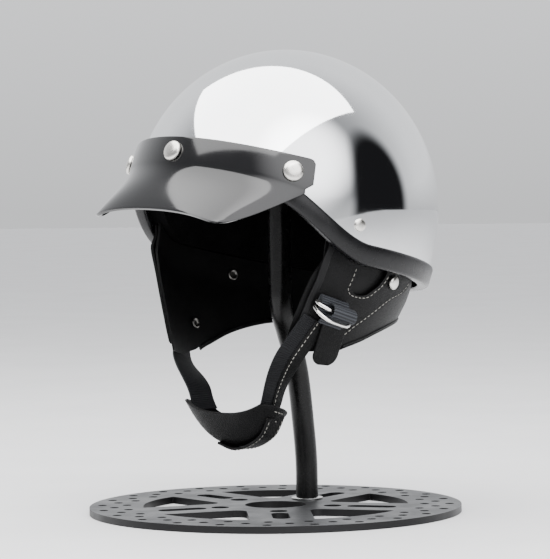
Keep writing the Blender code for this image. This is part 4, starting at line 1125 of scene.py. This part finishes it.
slack = RING_WIRE / 2 + GAP
low, high = bar_out - slack, bar_out + slack
top, bottom = -slack, RING_SPACING + slack
channel = rounded_profile(((top, low), (top, high), (bottom, high), (bottom, low)), 0.4 * LOOP_WALL, 6)
cover = rounded_profile(
    ((-LOOP_SEWN, low - LOOP_WALL), (-LOOP_SEWN, low + LOOP_WALL), (top, high + LOOP_WALL),
     (bottom + LOOP_WALL, high + LOOP_WALL), (bottom + LOOP_WALL, low - LOOP_WALL)), 0.0014, 5)
cover = through([Vector((x, y, 0.0)) for x, y in cover], 56)
channel = through([Vector((x, y, 0.0)) for x, y in channel], 56)
skins, flat = [], []
for outline in (cover, channel):
    skin = []
    for i in range(25):
        rear = -LOOP_WIDTH / 2 + LOOP_WIDTH * i / 24
        run = 0.0
        for j, spot in enumerate(outline):
            if j:
                run += (spot - outline[j - 1]).length
            skin.append(holder.point(rear, spot.x, spot.y))
            flat.append((rear, run))
    skins.append(skin)
points, faces = thicken(skins[0], skins[1], grid_faces(25, len(cover), wrap=True))
add_piece("holder_loop", points, faces, loop_webbing, ("ring_loop",), sharp=50.0, flat=flat)

# The strap's fold: it comes up under the lower ring, turns round the upper ring's bow and tucks in.
fold = ((0.0145, 0.0050), (0.0090, 0.0072), (0.0058, 0.0115), (0.0048, 0.0165), (0.0022, 0.0192),
        (-0.0010, 0.0186), (-0.0028, 0.0158), (-0.0030, 0.0118), (-0.0018, 0.0082))
fold = through([Vector((down, out, 0.0)) for down, out in fold], 49)
stations = []
for i, spot in enumerate(fold):
    ahead = (fold[min(i + 1, 48)] - fold[max(i - 1, 0)]).normalized()
    outward = (holder.down * ahead.y - holder.out * ahead.x).normalized()
    stations.append((holder.point(0.0035, spot.x, spot.y), holder.rear, outward))
points, faces, flat = strap_mesh(stations, 0.021, 0.0014)
piece = add_piece("strap_fold", points, faces, loop_webbing, sharp=60.0, flat=flat)


# %% Chin cup
def cup_point(along, across, lift):
    middle, end = (0.026, 0.007) if across > 0 else (0.015, 0.0035)
    curl = (middle + (end - middle) * along ** 2) * across ** 2
    angle = along * (CUP_HALF_ANGLE + 6.5 * across)
    return cup_arc(angle, CUP_RADIUS + lift - curl, across * CUP_HALF_WIDTH)


def cup_spot(along, across, lift):
    """Cup surface with rounded corners."""
    ends = 1.0 - 0.08 * across ** 4
    return cup_point(along * ends, across * (1.0 - 0.12 * along ** 6), lift)


rows, columns = 72, 28
points = [cup_spot(-1.0 + 2.0 * r / (rows - 1), -1.0 + 2.0 * c / (columns - 1), 0.0)
          for r in range(rows) for c in range(columns)]
cup = add_piece("cup", points, grid_faces(rows, columns), cup_leather, ("chin_cup",), sharp=60.0)
thick_sheet(cup, CUP_WALL, 0.0008)


def cup_stitches(name, spots):
    """Stitches on the cup's outside along (along, across) spots."""
    path, outs = [], []
    for along, across in spots:
        here = cup_spot(along, across, 0.0)
        one = cup_spot(along + 0.01, across, 0.0) - here
        other = cup_spot(along, across + 0.01, 0.0) - here
        outward = one.cross(other).normalized()
        if outward.dot(here - cup_arc(0.0, 0.0)) < 0:
            outward = -outward
        path.append(here + outward * CUP_WALL / 2)
        outs.append(outward)
    stitches(name, path, outs)


for side, word in ((1, "left"), (-1, "right")):
    cup_stitches(f"stitch_cup_end_{word}", [(side * 0.80, -0.55 + 1.1 * i / 20) for i in range(21)])
    cup_stitches(f"stitch_cup_bar_{word}", [(side * 0.93, -0.35 + 0.7 * i / 20) for i in range(21)])

stations = []
radius = CUP_RADIUS + CUP_WALL / 2 + 2 * GAP
for step in range(49):
    angle = -14.0 + 72.0 * step / 48
    outward = (cup_arc(angle, radius) - cup_arc(angle, 0.0)).normalized()
    sunk = 0.0026 * (1.0 - smooth_step(min(step, 48 - step) / 14))
    stations.append((cup_arc(angle, radius - sunk), Vector((0.0, 1.0, 0.0)), outward))
points, faces, flat = strap_mesh(stations, 0.018, 0.002)
add_piece("cup_band", points, faces, cup_leather, ("cup_strip",), sharp=60.0, flat=flat)
for row, place_across in (("front", -0.0072), ("back", 0.0072)):
    line = [centre + across * place_across + outward * 0.002 for centre, across, outward in stations]
    stitches(f"stitch_band_{row}", line, [outward for _, _, outward in stations])
print("strap, rings and cup are in place")

# %% [markdown]
# ## Stand
#
# The disc is filled between its outlines, so that every hole is a real one, and then made thick.


# %% Disc
def polar(radius, degrees):
    return radius * math.cos(math.radians(degrees)), radius * math.sin(math.radians(degrees))


def circle(centre, radius, sides):
    rim = [polar(radius, 360.0 * i / sides) for i in range(sides)]
    return [(centre[0] + x, centre[1] + y) for x, y in rim]


def filleted(corners, radii, steps):
    """Fillet the corners of a convex outline; a radius of 0 keeps the corner."""
    outline = []
    for i, (corner, radius) in enumerate(zip(corners, radii)):
        here = Vector(corner)
        back = (Vector(corners[i - 1]) - here).normalized()
        ahead = (Vector(corners[(i + 1) % len(corners)]) - here).normalized()
        half = back.angle(ahead) / 2
        reach = radius / math.tan(half)
        start, end = here + back * reach, here + ahead * reach
        centre = here + (back + ahead).normalized() * radius / math.sin(half)
        for step in range(steps + 1 if radius else 1):
            way = (start - centre).lerp(end - centre, step / steps).normalized()
            outline.append(tuple(centre + way * radius))
    return outline


outlines = [circle((0.0, 0.0), DISC_RADIUS, 240), circle((0.0, 0.0), BORE_RADIUS, 72)]
for spoke in range(SPOKES):
    first = SPOKE_ANGLE + 360.0 * spoke / SPOKES
    lean = math.degrees(math.asin(SPOKE_HALF_WIDTH / WINDOW_OUTER))
    arc = [polar(WINDOW_OUTER, first + lean + (72.0 - 2 * lean) * i / 24) for i in range(25)]
    corners = [polar(SPOKE_HALF_WIDTH / math.sin(math.radians(36.0)), first + 36.0)] + arc
    outlines.append(filleted(corners, (WINDOW_ROOT, WINDOW_CORNER) + (0.0,) * 23 + (WINDOW_CORNER,), 10))
    axis = Vector(polar(1.0, first))
    across = Vector((-axis.y, axis.x)) * SLOT_HALF_WIDTH
    near, far = axis * SLOT_FROM, axis * SLOT_TO
    slot = (near - across, far - across, far + across, near + across)
    outlines.append(filleted(slot, (SLOT_CORNER,) * 4, 8))
    if spoke != POST_SPOKE:
        outlines.append(circle(polar(BOLT_CIRCLE, first), BOLT_HOLE, 36))
for step in range(DRILLED_COUNT):
    angle = 10.6 + 15.0 * step
    for radius, turn in ((DRILLED_INNER, 0.0), (DRILLED_OUTER, 0.0), (DRILLED_MIDDLE, 7.5)):
        outlines.append(circle(polar(radius, angle + turn), DRILLED_HOLE, 24))
work = bmesh.new()
for outline in outlines:
    verts = [work.verts.new((x, y, 0.0)) for x, y in outline]
    for i, vert in enumerate(verts):
        work.edges.new((verts[i - 1], vert))
bmesh.ops.triangle_fill(work, edges=work.edges[:], use_beauty=True)
lifted = bmesh.ops.extrude_face_region(work, geom=work.faces[:])
top_points = [item for item in lifted["geom"] if isinstance(item, bmesh.types.BMVert)]
bmesh.ops.translate(work, vec=(0.0, 0.0, DISC_THICKNESS), verts=top_points)
work.verts.index_update()
points = [vert.co.copy() for vert in work.verts]
faces = [tuple(vert.index for vert in face.verts) for face in work.faces]
work.free()
disc = add_piece("disc", points, faces, disc_steel, ("stand_base",), sharp=30.0)
soften(disc, 0.0004, 2, 60.0).harden_normals = True

# %% Post and washer
POST_BENDS = (
    (0.0, 0.0), (0.10, 0.02), (0.22, 0.17), (0.31, 0.32), (0.375, 0.51),
    (0.43, 0.73), (0.475, 0.92), (0.52, 1.0), (0.60, 1.0), (1.0, 1.0),
)


def under_liner(across, along):
    width, length = SHELL_HALF_WIDTH + LINER_INSIDE, SHELL_HALF_LENGTH + LINER_INSIDE
    curve = math.sqrt(1.0 - (across / width) ** 2 - (along / length) ** 2)
    return Vector((across, along, (SHELL_CROWN_HEIGHT + LINER_INSIDE) * curve - 0.0009))


foot_x, foot_y = polar(BOLT_CIRCLE, SPOKE_ANGLE + 72.0 * POST_SPOKE)
foot_z = DISC_THICKNESS + WASHER_THICKNESS + 2 * GAP
axis = HELMET_POSE.inverted() @ Vector((0.0, 0.008, 0.2370 + 0.66 * SHELL_CROWN_HEIGHT))
crown = under_liner(axis.x, axis.y)
neck = HELMET_POSE @ (crown - Vector((0.0, 0.0, 1.5 * HEAD_THICKNESS)))
turns = [math.tau * i / 48 for i in range(48)]
centres = []
for step in range(121):
    low = step / 120
    high = min(1.0, max(0.0, reading(POST_BENDS, low)))
    centres.append(Vector((foot_x + (neck.x - foot_x) * high, foot_y + (neck.y - foot_y) * high,
                           foot_z + (neck.z - foot_z) * low)))
rings = []
for i, centre in enumerate(centres):
    inner = 0 < i < len(centres) - 1
    tangent = (centres[i + 1] - centres[i - 1]).normalized() if inner else Vector((0.0, 0.0, 1.0))
    spot = frame_at(centre, tangent, Vector((1.0, 0.0, 0.0)))
    rings.append([spot @ Vector((POST_RADIUS * math.cos(t), POST_RADIUS * math.sin(t), 0.0)) for t in turns])
head_profile = ((0.8, 1.0), (0.96, 0.85), (1.0, 0.6), (1.0, 0.12), (0.97, 0.02), (0.66, 0.0), (0.33, 0.0),
                (0.05, 0.0))
for wide, drop in head_profile:
    radius = HEAD_RADIUS * wide
    ring = [under_liner(crown.x + radius * math.cos(t), crown.y + radius * math.sin(t)) for t in turns]
    rings.append([HELMET_POSE @ (point - Vector((0.0, 0.0, HEAD_THICKNESS * drop))) for point in ring])
points, faces = tube(rings)
add_piece("post", points, faces, post_paint, ("stand_post",), sharp=50.0)

spot = Matrix.Translation((foot_x, foot_y, DISC_THICKNESS + GAP))
profile = ((0.0121, 0.0), (0.0125, 0.0003), (0.0125, 0.0009), (0.0121, WASHER_THICKNESS))
points, faces = turned(profile, 64, spot)
add_piece("washer", points, faces, washer_steel, ("foot_washer",), sharp=50.0)
print("stand is in place")

# %% [markdown]
# ## Studio and camera
#
# A wide pale floor meets a pale sky, which is lighter behind the helmet and to its left, and has
# one dark part that the chrome mirrors. One large soft light hangs overhead. The camera repeats
# the photograph's place, lens and small tilt.

# %% Floor
points = [Vector((0.0, 0.0, 0.0))]
points += [Vector((*spot, 0.0)) for radius in (0.3, 1.2, 9.0) for spot in circle((0.0, 0.0), radius, 64)]
faces = [(0, 1 + i, 1 + (i + 1) % 64) for i in range(64)]
faces += [tuple(1 + j for j in reversed(face)) for face in grid_faces(3, 64, wrap=True)]
mesh = bpy.data.meshes.new("floor")
mesh.from_pydata([tuple(point) for point in points], [], faces)
mesh.shade_smooth()
material, tree, shader = new_material("floor", Roughness=0.6)
place = node(tree, "TexCoord").outputs["Object"]
cloud = node(tree, "TexNoise", Vector=place, Scale=9.0, Detail=5.0).outputs["Fac"]
pale = (0.74, 0.74, 0.745)
feed(shader, Base_Color=colours(tree, cloud, (0.3, tuple(0.95 * value for value in pale)), (0.7, pale)))
mesh.materials.append(material)
floor = bpy.data.objects.new("floor", mesh)
bpy.context.scene.collection.objects.link(floor)
print("floor:", len(faces), "faces")


# %% Overhead light and sky
data = bpy.data.lights.new("overhead", "AREA")
data.shape, data.size, data.size_y, data.energy = "RECTANGLE", 2.4, 2.43, 110.0
overhead = bpy.data.objects.new("overhead", data)
overhead.location = (0.007, -0.507, 1.60)
overhead.rotation_euler = (0.0, 0.0, math.radians(18.0))
bpy.context.scene.collection.objects.link(overhead)
world = bpy.data.worlds.new("studio")
bpy.context.scene.world = world
world.use_nodes = True
tree = world.node_tree
way = node(tree, "TexCoord").outputs["Generated"]


def towards(direction, start, full, stretch=(1.0, 1.0, 1.0)):
    """1 in a soft round part of the sky about a direction, and 0 outside it."""
    flat = node(tree, "VectorMath", operation="MULTIPLY", i0=way, i1=stretch)
    flat = node(tree, "VectorMath", operation="NORMALIZE", i0=flat.outputs[0])
    near = node(tree, "VectorMath", operation="DOT_PRODUCT", i0=flat.outputs[0],
                i1=Vector(direction).normalized())
    return node(tree, "MapRange", interpolation_type="SMOOTHSTEP", i0=near.outputs["Value"],
                i1=start, i2=full, i3=0.0, i4=1.0).outputs[0]


def over(base, part, colour):
    """Lay a colour over the base where the part is 1."""
    mixed = node(tree, "Mix", data_type="RGBA", i0=part, i6=base, i7=(*colour, 1.0))
    return mixed.outputs[2]


behind = towards((-0.686, 0.727, 0.0), -0.2, 0.7)
bright_side = towards((0.81, -0.217, 0.545), 0.78, 0.99)
horizon = spread(tree, node(tree, "SeparateXYZ", Vector=way).outputs["Z"], -0.02, 0.12, 1.0, 0.0)
dark_side = towards((0.788, 0.616, 0.0), 0.90, 0.955, (1.0, 1.0, 0.5))
room = over((0.27, 0.275, 0.285, 1.0), behind, (0.80, 0.81, 0.83))
room = over(room, bright_side, (2.6, 2.6, 2.65))
room = over(room, horizon, (0.49, 0.495, 0.505))
room = over(room, dark_side, (0.008, 0.008, 0.009))
tree.links.new(room, tree.nodes["Background"].inputs["Color"])
tree.nodes["Background"].inputs["Strength"].default_value = 1.6
print("sky nodes:", len(tree.nodes))

# %% Camera
CAMERA_AIM = Vector((0.00206, 0.0, 0.18236))
CAMERA_BACK = Vector((0.6854, -0.7271, 0.0419)).normalized()
CAMERA_DISTANCE, CAMERA_LENS, CAMERA_ROLL = 2.4831, 204.3, math.radians(0.63)
camera_data = bpy.data.cameras.new("camera")
camera_data.lens, camera_data.sensor_width = CAMERA_LENS, 36.0
camera = bpy.data.objects.new("camera", camera_data)
bpy.context.scene.collection.objects.link(camera)
bpy.context.scene.camera = camera
right = Vector((0.0, 0.0, 1.0)).cross(CAMERA_BACK).normalized()
level = Matrix((right, CAMERA_BACK.cross(right), CAMERA_BACK)).transposed().to_4x4()
stand = Matrix.Translation(CAMERA_AIM + CAMERA_BACK * CAMERA_DISTANCE)
camera.matrix_world = stand @ level @ Matrix.Rotation(-CAMERA_ROLL, 4, "Z")
print("camera:", [round(value, 3) for value in camera.matrix_world.translation])
